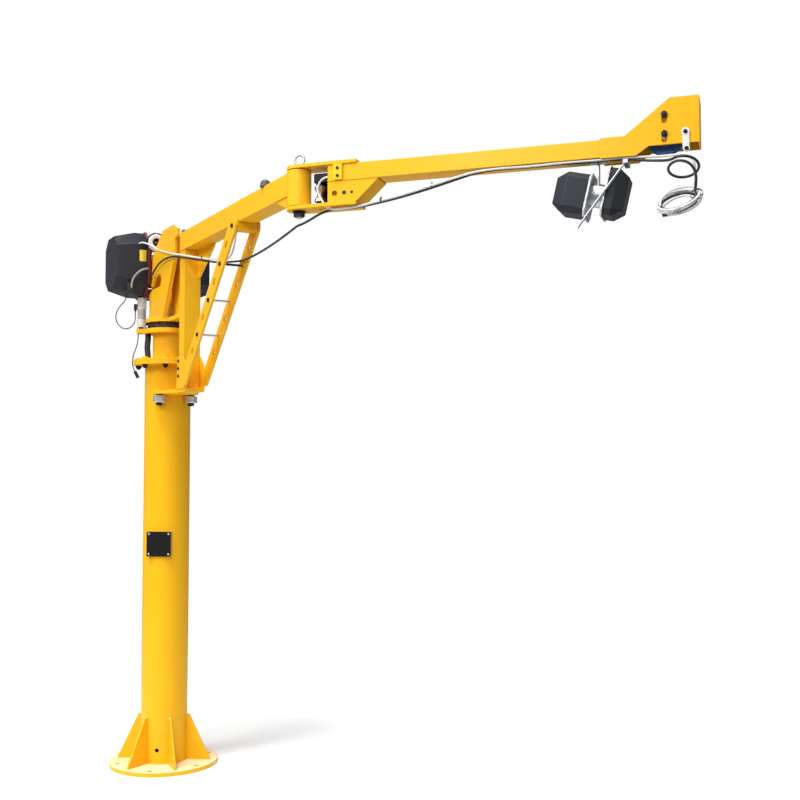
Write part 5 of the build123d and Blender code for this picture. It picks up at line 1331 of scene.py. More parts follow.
@dataclass
class GuideRollers:
    """Bracket, pins and the two rollers that run on the column."""

    roller_d: float = 60.0
    rim_edge: float = 2.5
    groove: float = 0.5
    seal_share: float = 0.62
    pin_d: float = 20.0
    pin_gap: float = 0.2
    nut_h: float = 15.0
    nut_washer_t: float = 1.6
    head_h: float = 10.0
    collar_gap: float = 1.0

    def make(self) -> None:
        """Dress the bracket, and draw the rollers and their pins."""
        dress(YELLOW, 1.6, "roller_bracket")
        pins = Form()
        for node, body in (("roller_near", Body.ROLLER_NEAR), ("roller_far", Body.ROLLER_FAR)):
            low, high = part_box(node)
            middle = (low + high) / 2 / MM
            axis = CRANE.upright(middle.x, middle.y, 0)
            self.turn_roller(node, body, axis)
            self.draw_pin(pins, axis, high.z / MM)
        pins.piece("roller_pin_set", Body.INNER, [BLACKENED, YELLOW], stands_for=["roller_pins"])

    def turn_roller(self, node: str, body: Body, axis: Place) -> None:
        """Turned roller with a bearing seal in each face.

        Args:
            node: the solid that it takes the place of.
            body: the body that it turns with.
            axis: its axis, at the floor.
        """
        foot, top = span(node)
        height = top - foot
        rim = self.roller_d / 2
        edge = rim - self.rim_edge
        waist = rim - self.groove
        seal_r = self.seal_share * rim
        bore = self.pin_d / 2 + self.pin_gap
        outer = [
            (seal_r, 1.2), (seal_r, 0.0), (edge, 0.0), (rim, self.rim_edge), (rim, 0.47 * height),
            (waist, 0.48 * height), (waist, 0.52 * height), (rim, 0.53 * height),
            (rim, height - self.rim_edge), (edge, height), (seal_r, height), (seal_r, height - 1.2),
        ]
        seal = [(bore, 1.0), (seal_r, 1.0), (seal_r, height - 1.0), (bore, height - 1.0)]
        roller = Form()
        spot = axis.upright(0, 0, foot)
        roller.turned(spot, outer, sides=72, hollow=True)
        roller.turned(spot, seal, tone=1, sides=72, hollow=True)
        roller.piece(node + "_turned", body, [TURNED, SEAM], stands_for=[node])

    def draw_pin(self, pins: Form, axis: Place, roller_top: float) -> None:
        """Pin with a cap nut below, a collar and a hexagon head above.

        Args:
            pins: the form that it joins.
            axis: its axis, at the floor.
            roller_top: height of the roller's top.
        """
        radius, across = self.pin_d / 2, 1.5 * self.pin_d
        under, top = span("roller_bracket")
        seat = span("roller_pins")[0] + self.nut_h
        pins.rod(axis.upright(0, 0, seat - 1), self.pin_d, top - seat + 2, sides=32)
        hang = axis.hanging(0, 0, seat)
        nut_h = 0.55 * self.nut_h
        pins.washer(hang, 1.55 * radius, 0.9 * radius, self.nut_washer_t)
        pins.hexagon(hang.upright(0, 0, self.nut_washer_t), across, nut_h, nut=True)
        cap_foot = self.nut_washer_t + nut_h - 0.5
        cap = []
        for k in range(6):
            turn = math.radians(15 * k)
            cap.append((1.35 * radius * math.cos(turn), (self.nut_h - cap_foot) * math.sin(turn)))
        pins.turned(hang.upright(0, 0, cap_foot), cap)
        collar = under - roller_top - self.collar_gap
        pins.rod(axis.upright(0, 0, roller_top + self.collar_gap), 1.6 * self.pin_d, collar, sides=32)
        head = axis.upright(0, 0, top)
        pins.washer(head, 1.7 * radius, 0.9 * radius, WASHER_T, tone=1)
        pins.hexagon(head.upright(0, 0, WASHER_T), across, self.head_h - WASHER_T, tone=1)


@dataclass
class Hoist:
    """Hoist behind the column: frame, covers, rope guide, coupling and its short lines."""

    middle: tuple[float, float] = (-260.0, 2434.0)
    depth: float = 260.0
    height: float = 316.0
    cut: float = 66.0
    cover_face: float = 70.0
    near_end: float = -220.0
    far_end: float = 264.0
    taper: float = 26.0
    seal_levels: tuple[float, float] = (0.4, 4.0)
    seal_insets: tuple[float, float] = (3.0, -1.4)
    patch_at: tuple[float, float] = (-93.0, 2466.5)
    patch_size: Point = (34.0, 57.0, 0.8)
    guide: tuple[float, float] = (-41.0, 2528.0)
    guide_x: float = -90.0
    guide_d: float = 84.0
    holder_steps: int = 28
    holder_t: float = 13.0
    coupling: tuple[float, float] = (-240.0, -64.0)
    coupling_top: float = 2270.0
    coupling_len: float = 170.0
    coupling_d: float = 46.0
    plug_y: float = -97.0
    plug_d: float = 16.0
    plug_len: float = 30.8
    conduit_x: float = -118.5
    conduit_y: float = -152.0
    conduit_d: float = 11.5
    gland_half: float = 14.0
    loop_d: float = 5.0

    def make(self) -> None:
        """Dress the solids, then add covers' trims, the guide's holder, the coupling and its lines."""
        dress(MAROON, 1.4, "hoist_frame")
        dress(CHARCOAL, 5.0, "hoist_cover_near", "hoist_cover_far")
        dress(WHITE, 0.8, "rope_guide")
        dress(BLACKENED, 1.0, "hoist_motor")
        dress(ZINC, 0.8, "hoist_drum")
        self.seal_covers()
        self.trim_covers()
        self.hold_guide()
        self.hang_coupling()
        self.run_lines()

    def ring(self, inset: float, across: float) -> list[Vector]:
        """The covers' faceted outline.

        Args:
            inset: how far it is drawn in.
            across: its distance across the crane.

        Returns:
            Its eight corners.
        """
        x, z = self.depth / 2 - inset, self.height / 2 - inset
        cut = self.cut - 0.6 * inset
        right = [(x, cut - z), (x, z - cut), (x - cut, z)]
        left = [(cut - x, z), (-x, z - cut), (-x, cut - z), (cut - x, -z), (x - cut, -z)]
        return [CRANE.at(self.middle[0] + px, across, self.middle[1] + pz) for px, pz in right + left]

    def seal_covers(self) -> None:
        """Seal between each cover and the frame."""
        inner, outer = self.seal_insets
        low, high = self.seal_levels
        seals = Form()
        for way in (-1, 1):
            section = ((inner, low), (outer, low), (outer, high), (inner, high))
            rings = [self.ring(inset, way * (self.cover_face + level)) for inset, level in section]
            seals.skin(rings if way < 0 else rings[::-1], ring_shut=True)
        seals.piece("cover_seals", Body.INNER, [SEAM], crease=20)

    def trim_covers(self) -> None:
        """Screws on the covers' ends, and a plain patch on the near cover."""
        head = [(4.6, -0.4), (4.6, 0.8), (3.9, 1.8), (2.4, 2.3), (2.2, 2.1), (2.2, 0.6)]
        half_x, half_z = self.depth / 2 - self.taper - 16, self.height / 2 - self.taper - 56
        screws = Form()
        for x, z in corners(half_x, half_z):
            along, rise = self.middle[0] + x, self.middle[1] + z
            screws.turned(CRANE.near_face(along, self.near_end, rise), head, sides=20)
            screws.turned(CRANE.far_face(along, self.far_end, rise), head, sides=20)
        screws.piece("cover_end_screws", Body.INNER, [BLACKENED])
        patch = Form()
        front = self.middle[0] + self.depth / 2
        patch.block(CRANE.turned(front, *self.patch_at, CRANE.x, CRANE.y), self.patch_size, 0.25)
        patch.piece("cover_patch", Body.INNER, [PATCH])

    def hold_guide(self) -> None:
        """Black holder arched over the white guide ring, with a bush and a wiper in its bore."""
        spot = CRANE.turned(self.guide_x, *self.guide, CRANE.x, CRANE.y)
        rim = self.guide_d / 2
        rings = []
        for k in range(self.holder_steps + 1):
            spoke = spot.about(-20 + 220 * k / self.holder_steps)
            section = ((0.3, self.holder_t), (7.5, self.holder_t), (7.5, 0.0), (0.3, 0.0))
            rings.append([spoke.at(rim + reach, 0, level) for reach, level in section])
        holder = Form()
        holder.skin(rings)
        for turn in (25, 90, 155):
            stud = Place(spot.about(turn).at(rim + 4, 0, self.holder_t), spot.x, spot.y, spot.z)
            holder.turned(stud, [(2.6, 0.0), (2.6, 1.6), (1.8, 2.2), (1.3, 1.2)], tone=1, sides=16)
        bush = [(19.9, -5.0), (19.9, 15.0), (18.6, 16.6), (16.6, 15.0), (16.6, -5.0)]
        wiper = [(5.0, -3.0), (17.5, -3.0), (17.5, 1.0), (5.0, 0.0)]
        for profile in (bush, wiper):
            holder.turned(spot, profile, tone=2, sides=40, hollow=True)
        holder.piece("guide_holder", Body.INNER, [BLACK, ZINC, SEAM], crease=30)

    def hang_coupling(self) -> None:
        """White coupling with a grey collar, its side plug and the gland block on the near cover."""
        radius, length = self.coupling_d / 2, self.coupling_len
        waist = 0.9 * radius
        upper = [
            (0.8 * radius, 0.0), (radius - 2, 0.0), (radius, 2.0), (radius, 0.33 * length),
            (radius - 1.5, 0.35 * length), (waist, 0.35 * length),
        ]
        collar = [(waist, 0.34 * length)]
        for k in range(9):
            low = (0.36 + 0.03 * k) * length
            collar += [(0.92 * radius, low), (0.92 * radius, low + 0.018 * length)]
            collar += [(0.87 * radius, low + 0.022 * length)]
        collar += [(waist, 0.66 * length)]
        lower = [
            (waist, 0.65 * length), (radius - 1.5, 0.65 * length), (radius, 0.67 * length),
            (radius, length - 6), (radius - 3, length - 1.5), (radius - 6, length), (0.55 * radius, length),
            (0.5 * radius, length - 9),
        ]
        hang = CRANE.hanging(*self.coupling, self.coupling_top)
        parts = Form()
        for profile, tone in ((upper, 0), (collar, 1), (lower, 0)):
            parts.turned(hang, profile, tone, sides=48)
        self.draw_plug(parts)
        self.draw_gland(parts)
        parts.piece("supply_coupling", Body.INNER, [WHITE, PALE_GREY, SEAM], stands_for=["hoist_glands"])

    def draw_plug(self, parts: Form) -> None:
        """Ribbed plug beside the coupling, with the arm that carries it.

        Args:
            parts: the form that it joins.
        """
        x, y = self.coupling
        foot = self.coupling_top - 0.38 * self.coupling_len
        radius = self.plug_d / 2
        grip = [(3.4, -7.0), (4.6, -1.0), (radius, 0.0)]
        for k in range(5):
            level = 4.0 + 4.0 * k
            grip += [(radius, level), (radius - 0.7, level + 1.0), (radius, level + 2.0)]
        grip += [(radius, self.plug_len - 1.5), (radius - 1.5, self.plug_len)]
        parts.turned(CRANE.upright(x, self.plug_y, foot), grip, tone=2, sides=28)
        arm = CRANE.upright(x, (self.plug_y + y) / 2, foot + 22)
        parts.block(arm, (8.0, y - self.plug_y, 8.8), 1.0, tone=2)

    def draw_gland(self, parts: Form) -> None:
        """Gland block on the near cover's lower facet, with a nut where the conduit comes out.

        Args:
            parts: the form that it joins.
        """
        front = self.middle[0] + self.depth / 2
        low = self.middle[1] - self.height / 2
        side = self.conduit_x + 11.5
        outline = [
            (front - self.cut / 3, low + self.cut), (front - self.cut, low + self.cut / 3),
            (front - self.cut / 2, low - 6), (side, low - 6), (side, low + 16.5), (front - 6, low + 16.5),
        ]
        middle = sum((Vector(corner) for corner in outline), Vector((0.0, 0.0))) / len(outline)
        face, edge = self.gland_half, self.gland_half - 1.5
        rings = []
        for level, share in ((face, 0.93), (edge, 1.0), (-edge, 1.0), (-face, 0.93)):
            drawn = [middle + (Vector(corner) - middle) * share for corner in outline]
            rings.append([CRANE.at(x, self.conduit_y + level, z) for x, z in drawn])
        parts.skin(rings, tone=2)
        nut = CRANE.upright(self.conduit_x, self.conduit_y, low + 15.5)
        parts.hexagon(nut, 19.0, 7.0, tone=2, nut=True)

    def run_lines(self) -> None:
        """Ribbed conduit up to the frame, and the thin loop under the cover."""
        rise = [
            (-152, 2292.5), (-152, 2318.5), (-146, 2343.5), (-131, 2367.5), (-110, 2387.5), (-90, 2398.5),
            (-70.6, 2400.5),
        ]
        Cable(
            "cover_conduit", [CRANE.at(self.conduit_x, y, z) for y, z in rise], self.conduit_d, GREY_SHEATH,
            ["hoist_conduit"], FarEnd.OBJECT, Lay.LOOSE,
        ).ribbed_conduit(Body.INNER, 3.4, 0.9)
        loop = [
            (-144, 2281.2), (-144, 2254), (-174, 2224), (-194, 2188), (-197, 2152), (-179, 2120),
            (-148, 2104), (-113, 2120), (-98, 2148), (-97, 2178), (-97, 2205.4),
        ]
        Cable(
            "cover_loop", [CRANE.at(self.coupling[0], y, z) for y, z in loop], self.loop_d, BLACK_SHEATH,
            ["hoist_loop"], FarEnd.OBJECT, Lay.HANGING,
        ).round_cable(Body.INNER)


@dataclass
class Elbow:
    """Barrel, pin, fork, stop block, lifting eye and the guide pulley."""

    nut_across: float = 36.0
    nut_h: float = 22.0
    nut_washer_t: float = 3.0
    stud_d: float = 24.0
    side_start: float = 131.0
    side_end: float = 323.0
    plate_len: float = 242.0
    plate_side: float = 46.0
    hole_rise: float = 33.0
    lip: tuple[float, float] = (71.5, 8.0)
    lip_size: tuple[float, float] = (14.0, 3.0)
    lip_gap: float = 3.0
    barrel_leg: float = 3.4
    fork_leg: float = 3.0
    fork_end_leg: float = 3.4
    beam_leg: float = 2.6

    def make(self) -> None:
        """Dress the solids, then add the nut, the welds, and the hole plugs and caps in painted shade."""
        dress(YELLOW, 1.6, "elbow_barrel", "fork_plates", "fork_sides")
        dress(BRONZE, 0.4, "elbow_bushes")
        dress(TURNED, 0.8, "elbow_pin")
        dress(ZINC, 0.8, "lifting_eye", "guide_pulley")
        dress(BRIGHT_YELLOW, 1.2, "stop_block")
        dress(BLACK, 1.2, "guide_bracket")
        self.fit_nut()
        self.weld_barrel()
        self.lip_bracket()
        self.weld_fork()
        self.plug_holes()

    def fit_nut(self) -> None:
        """Hexagon nut with a washer under the fork."""
        seat = ARM.hanging(0, 0, span("elbow_nut")[1])
        face = seat.upright(0, 0, self.nut_washer_t).about(12)
        nut = Form()
        nut.washer(seat, 0.72 * self.nut_across, 0.51 * self.stud_d, self.nut_washer_t)
        nut.hexagon(face, self.nut_across, self.nut_h - self.nut_washer_t, nut=True)
        nut.piece("elbow_hexagon_nut", Body.OUTER, [BLACKENED], stands_for=["elbow_nut"])

    def weld_barrel(self) -> None:
        """Beads where the inner arm meets the barrel."""
        foot, top = span("inner_arm_box")
        side = span("inner_arm_box", "y")[1]
        barrel_low, barrel_high = span("elbow_barrel", "y")
        radius = (barrel_high - barrel_low) / 2
        axis = ARM.origin.x / MM
        half = math.degrees(math.asin(side / radius))
        back = axis - math.sqrt(radius**2 - side**2)
        beads = Form()
        for height in (foot, top):
            line = arc(CRANE.upright(axis, 0, height), radius, 180 - half, 180 + half, 24)
            beads.bead(line, self.barrel_leg)
        for across in (-side, side):
            beads.seam(CRANE, (back, across, foot), (back, across, top), self.barrel_leg)
        beads.piece("barrel_welds", Body.INNER, [WELD])

    def lip_bracket(self) -> None:
        """Black lips on the guide bracket's front, below and above the pulley."""
        pulley_low, pulley_high = span("guide_pulley")
        foot, top = span("fork_sides")[0] + 6.0, span("guide_bracket")[1] - 2.0
        lips = Form()
        for low, high in ((foot, pulley_low - self.lip_gap), (pulley_high + self.lip_gap, top)):
            lips.block(ARM.upright(*self.lip, low), (*self.lip_size, high - low), 0.6)
        lips.piece("bracket_lips", Body.OUTER, [BLACK])

    def weld_fork(self) -> None:
        """Beads between the fork's plates, its sides and the outer arm."""
        foot = span("fork_sides")[0]
        beam_foot, beam_top = span("outer_arm_box")
        beads = Form()
        for side in (-self.plate_side, self.plate_side):
            for end, height, leg in (
                (self.plate_len, foot, self.fork_leg),
                (self.side_end, beam_foot, self.beam_leg),
                (self.plate_len, beam_top, self.fork_leg),
            ):
                beads.seam(ARM, (self.side_start, side, height), (end, side, height), leg)
        ends = [(self.plate_len, side, beam_top) for side in (-self.plate_side, self.plate_side)]
        beads.seam(ARM, *ends, self.fork_end_leg)
        beads.piece("fork_welds", Body.OUTER, [WELD])

    def plug_holes(self) -> None:
        """Sunk plug in the largest hole of each fork side in a dark orange that is painted shade, and
        near-black caps in the smaller ones that are painted shade of the holes.
        """
        height = span("fork_sides")[0] + self.hole_rise
        plugs = Form()
        # Dark orange painted shade in the largest hole, near-black painted shade in the smaller ones.
        for along, radius, tone in ((158.0, 9.9, 0), (195.0, 7.4, 1), (224.0, 5.4, 1)):
            dish = [
                (radius, -5.6), (radius, -2.2), (0.9 * radius, -2.0), (0.8 * radius, -3.2),
                (0.3 * radius, -3.5),
            ]
            for spot in ARM.sides(along, self.plate_side, height):
                plugs.turned(spot, dish, tone)
        plugs.piece("fork_hole_shade_plugs", Body.OUTER, [SHADE_PAINTED_YELLOW, SEAM])


@dataclass
class OuterArm:
    """Outer arm, tip head with its sheave, hanger strap and the twin-cover unit below."""

    sheave_x: float = 1318.0
    sheave_z: float = 2518.0
    bolt_rise: float = 64.0
    bolt_size: float = 16.0
    bolt_across: float = 19.0
    bolt_h: float = 8.0
    stub: tuple[float, float] = (-6.0, 0.5)
    tip_outer: float = 52.0
    tip_start: float = 1110.0
    tip_leg: float = 3.0
    sheave_half: float = 13.5
    beam_side: float = 46.0
    pad_size: Point = (30.0, 52.0, 2.4)
    pad_gap: float = 2.6
    pad_drop: float = 11.0
    hanger_x: float = 1385.0
    hanger_lean: float = 3.0
    hanger_len: float = 56.0
    hanger_t: float = 5.0
    block_x: float = 172.0
    block_mid: float = 2488.0
    block_face: float = 54.0
    block_bolt: tuple[float, float] = (10.0, 4.0)

    def make(self) -> None:
        """Dress the solids, then add the bolts and the welds."""
        dress(YELLOW, 4.0, "outer_arm_box")
        dress(YELLOW, 1.5, "tip_head")
        dress(BLUE, 0.9, "tip_sheave")
        dress(GALVANISED, 0.7, "tip_hanger")
        dress(CHARCOAL, 4.0, "unit_covers")
        dress(SILVER, 0.9, "unit_frame")
        self.bolt_tip()
        self.back_slots()
        self.bolt_straps()
        self.weld_tip()

    def bolt_tip(self) -> None:
        """Sheave pin with its sleeves, and the tie bolt above it."""
        bolts = Form()
        stub = [(self.bolt_size / 2, level) for level in self.stub]
        for rise in (0.0, self.bolt_rise):
            for spot in ARM.sides(self.sheave_x, self.tip_outer, self.sheave_z + rise):
                bolts.hexagon(spot.about(8 + rise / 3), self.bolt_across, self.bolt_h)
                bolts.turned(spot, stub, sides=20)
        pin = ARM.far_face(self.sheave_x, -self.tip_outer, self.sheave_z)
        bolts.rod(pin, self.bolt_size, 2 * self.tip_outer, tone=1, sides=24)
        sleeve = self.beam_side - self.sheave_half
        for start in (-self.beam_side, self.sheave_half):
            foot = ARM.far_face(self.sheave_x, start, self.sheave_z)
            bolts.rod(foot, 1.8 * self.bolt_size, sleeve, tone=1, sides=28)
        bolts.piece("tip_bolt_set", Body.OUTER, [BLACKENED, ZINC], stands_for=["tip_bolts"])

    def back_slots(self) -> None:
        """Pads inside the tip plates, which close the bolts' slots from behind, in a dark orange enamel that
        is painted shade.
        """
        pads = Form()
        for rise in (0.0, self.bolt_rise):
            height = self.sheave_z + rise - self.pad_drop
            for spot in ARM.sides(self.sheave_x, self.beam_side - self.pad_gap, height):
                pads.block(spot, self.pad_size, 0.6)
        pads.piece("tip_slot_shade_pads", Body.OUTER, [SHADED])

    def bolt_straps(self) -> None:
        """Bolts of the stop block and of the hanger strap."""
        bolts = Form()
        for rise in (-14, 14):
            spot = ARM.near_face(self.block_x, -self.block_face, self.block_mid + rise)
            bolts.hexagon(spot.about(rise), *self.block_bolt)
        dome = [(7.0, 0.0), (7.0, 1.6), (6.4, 3.6), (4.9, 5.4), (3.4, 6.0), (3.2, 5.7), (3.2, 3.0)]
        face = -self.tip_outer - self.hanger_t
        for lean, drop in ((0.0, 0.0), (self.hanger_lean, self.hanger_len)):
            spot = ARM.near_face(self.hanger_x + lean, face, self.sheave_z - drop)
            bolts.turned(spot, dome, sides=28)
        bolts.piece("arm_bolt_set", Body.OUTER, [BLACKENED], stands_for=["arm_bolts"])

    def weld_tip(self) -> None:
        """Beads where the tip plates lap the outer arm."""
        foot, top = span("outer_arm_box")
        beads = Form()
        for side in (-self.beam_side, self.beam_side):
            beads.seam(ARM, (self.tip_start, side, foot), (self.tip_start, side, top), self.tip_leg)
        beads.piece("tip_welds", Body.OUTER, [WELD])


@dataclass
class Harness:
    """Control and power cables along both arms, their hank at the tip and the ties that hold them."""

    power_d: float = 9.0
    control_d: float = 8.0
    hank_middle: Point = (1361.0, -60.0, 2292.0)
    hank_lean: Point = (-0.20, -0.65, 0.733)
    hank_r: float = 60.0
    turn_points: int = 14
    loop_middle: Point = (1378.0, -62.0, 2406.0)
    loop_r: float = 50.0
    loop_lean: float = -0.40
    loop_start: float = 215.0
    loop_step: float = 33.5
    loop_points: int = 13
    loop_sink: float = 1.2

    def make(self) -> None:
        """Lay the cables and tie them."""
        self.lay_inner_control()
        self.lay_outer_control()
        self.lay_power()
        self.tie_cables()

    def hank_place(self) -> Place:
        """Where the hank hangs.

        Returns:
            The hank's middle, with x at its upper right and z along its lean.
        """
        lean = self.hank_lean
        normal = (ARM.x * lean[0] + ARM.y * lean[1] + ARM.z * lean[2]).normalized()
        x = ARM.y.cross(normal).normalized()
        return Place(ARM.at(*self.hank_middle), x, normal.cross(x), normal)

    def hank_turns(self, start: float, turns: float, lanes: Sequence[tuple[float, float]]) -> list[Vector]:
        """Points of a cable wound in the hank.

        Args:
            start: first angle in degrees.
            turns: number of turns.
            lanes: for each turn, how far out and how far up it lies in the bundle.

        Returns:
            The points, as many to a turn as the harness says.
        """
        ring = self.hank_place()
        last = len(lanes) - 1
        points = []
        for k in range(round(self.turn_points * turns) + 1):
            progress = k / self.turn_points
            lane = min(int(progress), last)
            share = progress - lane if lane < last else 0.0
            ease = share * share * (3 - 2 * share)
            here, ahead = lanes[lane], lanes[min(lane + 1, last)]
            out = here[0] + (ahead[0] - here[0]) * ease
            up = here[1] + (ahead[1] - here[1]) * ease
            turn = math.radians(-(start + 360 * progress))
            slack = 0.5 - 0.5 * math.cos(turn)
            radius = self.hank_r + out * (1 + 0.5 * slack)
            level = up * (1 + 0.35 * slack)
            points.append(ring.at(radius * math.cos(turn), radius * math.sin(turn), level))
        return points

    def end_plug(self, name: str, line: Sequence[Vector], thick: float, finish: Finish) -> bpy.types.Object:
        """Small round connector on the end of a cable.

        Args:
            name: the piece's name.
            line: the cable's middle.
            thick: the cable's thickness.
            finish: the connector's finish.

        Returns:
            The connector.
        """
        way = line[-1] - line[-2]
        spot = Place(line[-1], Vector(), Vector(), Vector()).turned(0, 0, 0, way, way.orthogonal())
        radius = 0.85 * thick
        shell = [(0.55 * thick, -4.0), (0.62 * thick, 0.0), (0.8 * radius, 3.0)]
        for k in range(4):
            rib = 4.5 + 2.4 * k
            shell += [(radius, rib), (radius, rib + 1.4), (0.9 * radius, rib + 1.9)]
        shell += [(radius, 14.5), (radius, 26.0), (0.88 * radius, 27.0)]
        shell += [(0.6 * radius, 27.0), (0.55 * radius, 22.0)]
        plug = Form()
        plug.turned(spot, shell, sides=28)
        return plug.piece(name, Body.OUTER, [finish])

    def lay_inner_control(self) -> None:
        """White cable from the hoist's cover over the head and through the struts into the arm."""
        route = [
            (-130, -112, 2526), (-106, -112, 2526), (-78, -104, 2522), (-52, -88, 2511), (-20, -75.2, 2496),
            (30, -68.2, 2472), (102, -67.2, 2452), (186, -68.2, 2432), (272, -71.2, 2412), (376, -58, 2391),
            (482, -40, 2366), (592, -21, 2343), (702, -1, 2322), (763, 11, 2314), (813, 13, 2322),
            (857, 9, 2351), (884, 5, 2383), (894, 4, 2422),
        ]
        Cable(
            "control_cable_upper", [CRANE.at(*point) for point in route], self.control_d, WHITE_SHEATH,
            ["control_cable_inner"], FarEnd.OBJECT, Lay.LOOSE,
        ).round_cable(Body.INNER)

    def lay_outer_control(self) -> None:
        """White cable out of the outer arm, through the fork's slot, along to the tip and into the hank."""
        route = [
            (152, -30, 2480), (116, -30, 2480), (92, -30, 2462), (83, -30, 2430), (100, -30, 2398),
            (118, -30, 2368), (145, -30, 2356), (181, -31, 2358), (234, -32, 2359), (308, -33, 2372),
            (393, -35, 2386), (498, -37, 2408), (598, -39, 2432), (680, -40, 2449.2), (762, -40, 2453.2),
            (872, -40, 2450.2), (982, -40, 2453.2), (1092, -40, 2451.2), (1190, -40, 2453.2),
            (1250, -42, 2449.2), (1310, -48, 2444.2), (1355, -61, 2442.2), (1389, -69, 2440.2),
            (1407, -70, 2423.2), (1414, -72, 2398.2), (1415, -68, 2373.2), (1413, -58, 2350.2),
            (1411, -51, 2341.2),
        ]
        lanes = [(12.0, 11.0), (3.0, 1.0), (13.0, -9.0), (-13.0, -10.0), (11.0, 9.0)]
        points = [ARM.at(*point) for point in route] + self.hank_turns(-10, 4.3, lanes)
        plug = self.end_plug("control_plug", smooth_line(points), self.control_d, PALE_GREY)
        Cable(
            "control_cable_lower", points, self.control_d, WHITE_SHEATH,
            ["control_cable_outer", "tip_coil"], FarEnd.CONNECTOR, Lay.COILED, [plug],
        ).round_cable(Body.OUTER)

    def tip_loop(self) -> list[Point]:
        """The power cable's loop under the tip.

        Returns:
            Its points, in the outer arm's place.
        """
        along, across, height = self.loop_middle
        points = []
        for k in range(self.loop_points):
            turn = math.radians(self.loop_start + self.loop_step * k)
            swing = self.loop_r * math.sin(turn)
            level = height + self.loop_lean * swing - self.loop_sink * k
            points.append((along + self.loop_r * math.cos(turn), across + swing, level))
        return points

    def lay_power(self) -> None:
        """Black cable from the hoist's frame, past the elbow, round the loop at the tip into the hank."""
        inner = [
            (-106, -64, 2358), (-72, -64, 2358), (-30, -65.7, 2378), (20, -65.7, 2396), (80, -65.7, 2406),
            (150, -65.7, 2409), (215, -64.7, 2407), (275, -62.7, 2400), (370, -48, 2381), (480, -30, 2356),
            (590, -10, 2332), (700, 10, 2310), (790, 26, 2302), (862, 37, 2294), (950, 34, 2290),
            (1060, 28, 2289), (1180, 21, 2292), (1300, 14, 2298), (1410, 7, 2306), (1480, 3, 2312),
            (1531, 0, 2317),
        ]
        outer = [
            (14, 0, 2319.5), (48, -4, 2333), (84, -10, 2349), (124, -15, 2359), (168, -16, 2361),
            (232, -18, 2360.5), (310, -20, 2370), (395, -22, 2383), (500, -25, 2404), (600, -28, 2428),
            (682, -30, 2447.7), (762, -30, 2452.7), (872, -30, 2450.2), (982, -30, 2452.7),
            (1092, -30, 2451.2), (1190, -30, 2451.7), (1245, -36, 2439.7), (1294, -57, 2428.7),
        ]
        tail = [
            (1395, -108, 2403), (1413, -100, 2384), (1419, -91, 2360), (1417, -84, 2337), (1414, -80, 2317),
        ]
        points = [CRANE.at(*point) for point in inner]
        points += [ARM.at(*point) for point in outer + self.tip_loop() + tail]
        points += self.hank_turns(25, 1.25, [(1.0, 6.0), (-2.0, -10.0)])
        plug = self.end_plug("power_plug", smooth_line(points), self.power_d, SEAM)
        Cable(
            "power_cable", points, self.power_d, BLACK_SHEATH, ["power_cable_inner", "power_cable_outer"],
            FarEnd.CONNECTOR, Lay.COILED, [plug],
        ).folding_cable(CRANE.at(*inner[-1]), ARM.at(*outer[0]))

    def tie(self, form: Form, spot: Place, half: tuple[float, float]) -> None:
        """Nylon tie round cables: a strap with its head and tail.

        Args:
            form: the form that it joins.
            spot: its middle, with z along the cables.
            half: inner half sizes.
        """
        form.band(spot, half, 4.6, 1.2)
        head = spot.upright(half[0] + 0.4, 0, -3.2)
        form.block(head, (4.6, 5.6, 6.4), 0.6)
        tail = spot.upright(half[0] + 2.4, 2.0, -1.9)
        form.block(tail.about(38), (13.0, 1.1, 3.8), 0.3)

    def tie_cables(self) -> None:
        """Ties along the struts, under the outer arm and on the hank."""
        inner = Form()
        way = CRANE.at(110, 20, -22).normalized()
        for spot in ((560, -21, 2344), (740, 12, 2312)):
            self.tie(inner, CRANE.turned(*spot, way, Vector((0, -0.7, 0.7))), (12.4, 5.4))
        inner.piece("strut_cable_ties", Body.INNER, [TIE])
        outer = Form()
        for along in (330.0, 520.0):
            rise = 2374 + (along - 310) * 0.185
            self.tie(outer, ARM.turned(along, -27.5, rise, ARM.x, ARM.z), (6.0, 12.5))
        ring = self.hank_place()
        hold = Place(ring.at(self.hank_r * 0.985, 0, 1), ring.x, ring.z, -ring.y)
        outer.band(hold, (19.0, 17.0), 8.0, 1.4)
        outer.piece("arm_cable_ties", Body.OUTER, [TIE])


@dataclass(frozen=True)
class Lamp:
    """A square soft light: where it hangs, its size in metres and its power in watts."""

    name: str
    place: Point
    size: float
    power: float

    def hang(self, target: Vector) -> None:
        """Hang the light and aim it.

        Args:
            target: the point that it faces.
        """
        light = bpy.data.lights.new(self.name, "AREA")
        light.size = self.size
        light.energy = self.power
        lamp = bpy.data.objects.new(self.name, light)
        lamp.location = self.place
        lamp.rotation_euler = (target - Vector(self.place)).to_track_quat("-Z", "Y").to_euler()
        bpy.context.scene.collection.objects.link(lamp)


LAMPS = (
    Lamp("key", (1.2, -5.6, 5.6), 2.4, 250.0),
    Lamp("sky", (7.0, -9.0, 30.0), 12.0, 8000.0),
    Lamp("arm", (3.4, -1.8, 3.6), 1.2, 36.0),
    Lamp("front", (6.5, 1.6, 3.4), 2.6, 24.0),
    Lamp("back", (-4.0, 2.5, 5.0), 3.0, 100.0),
)


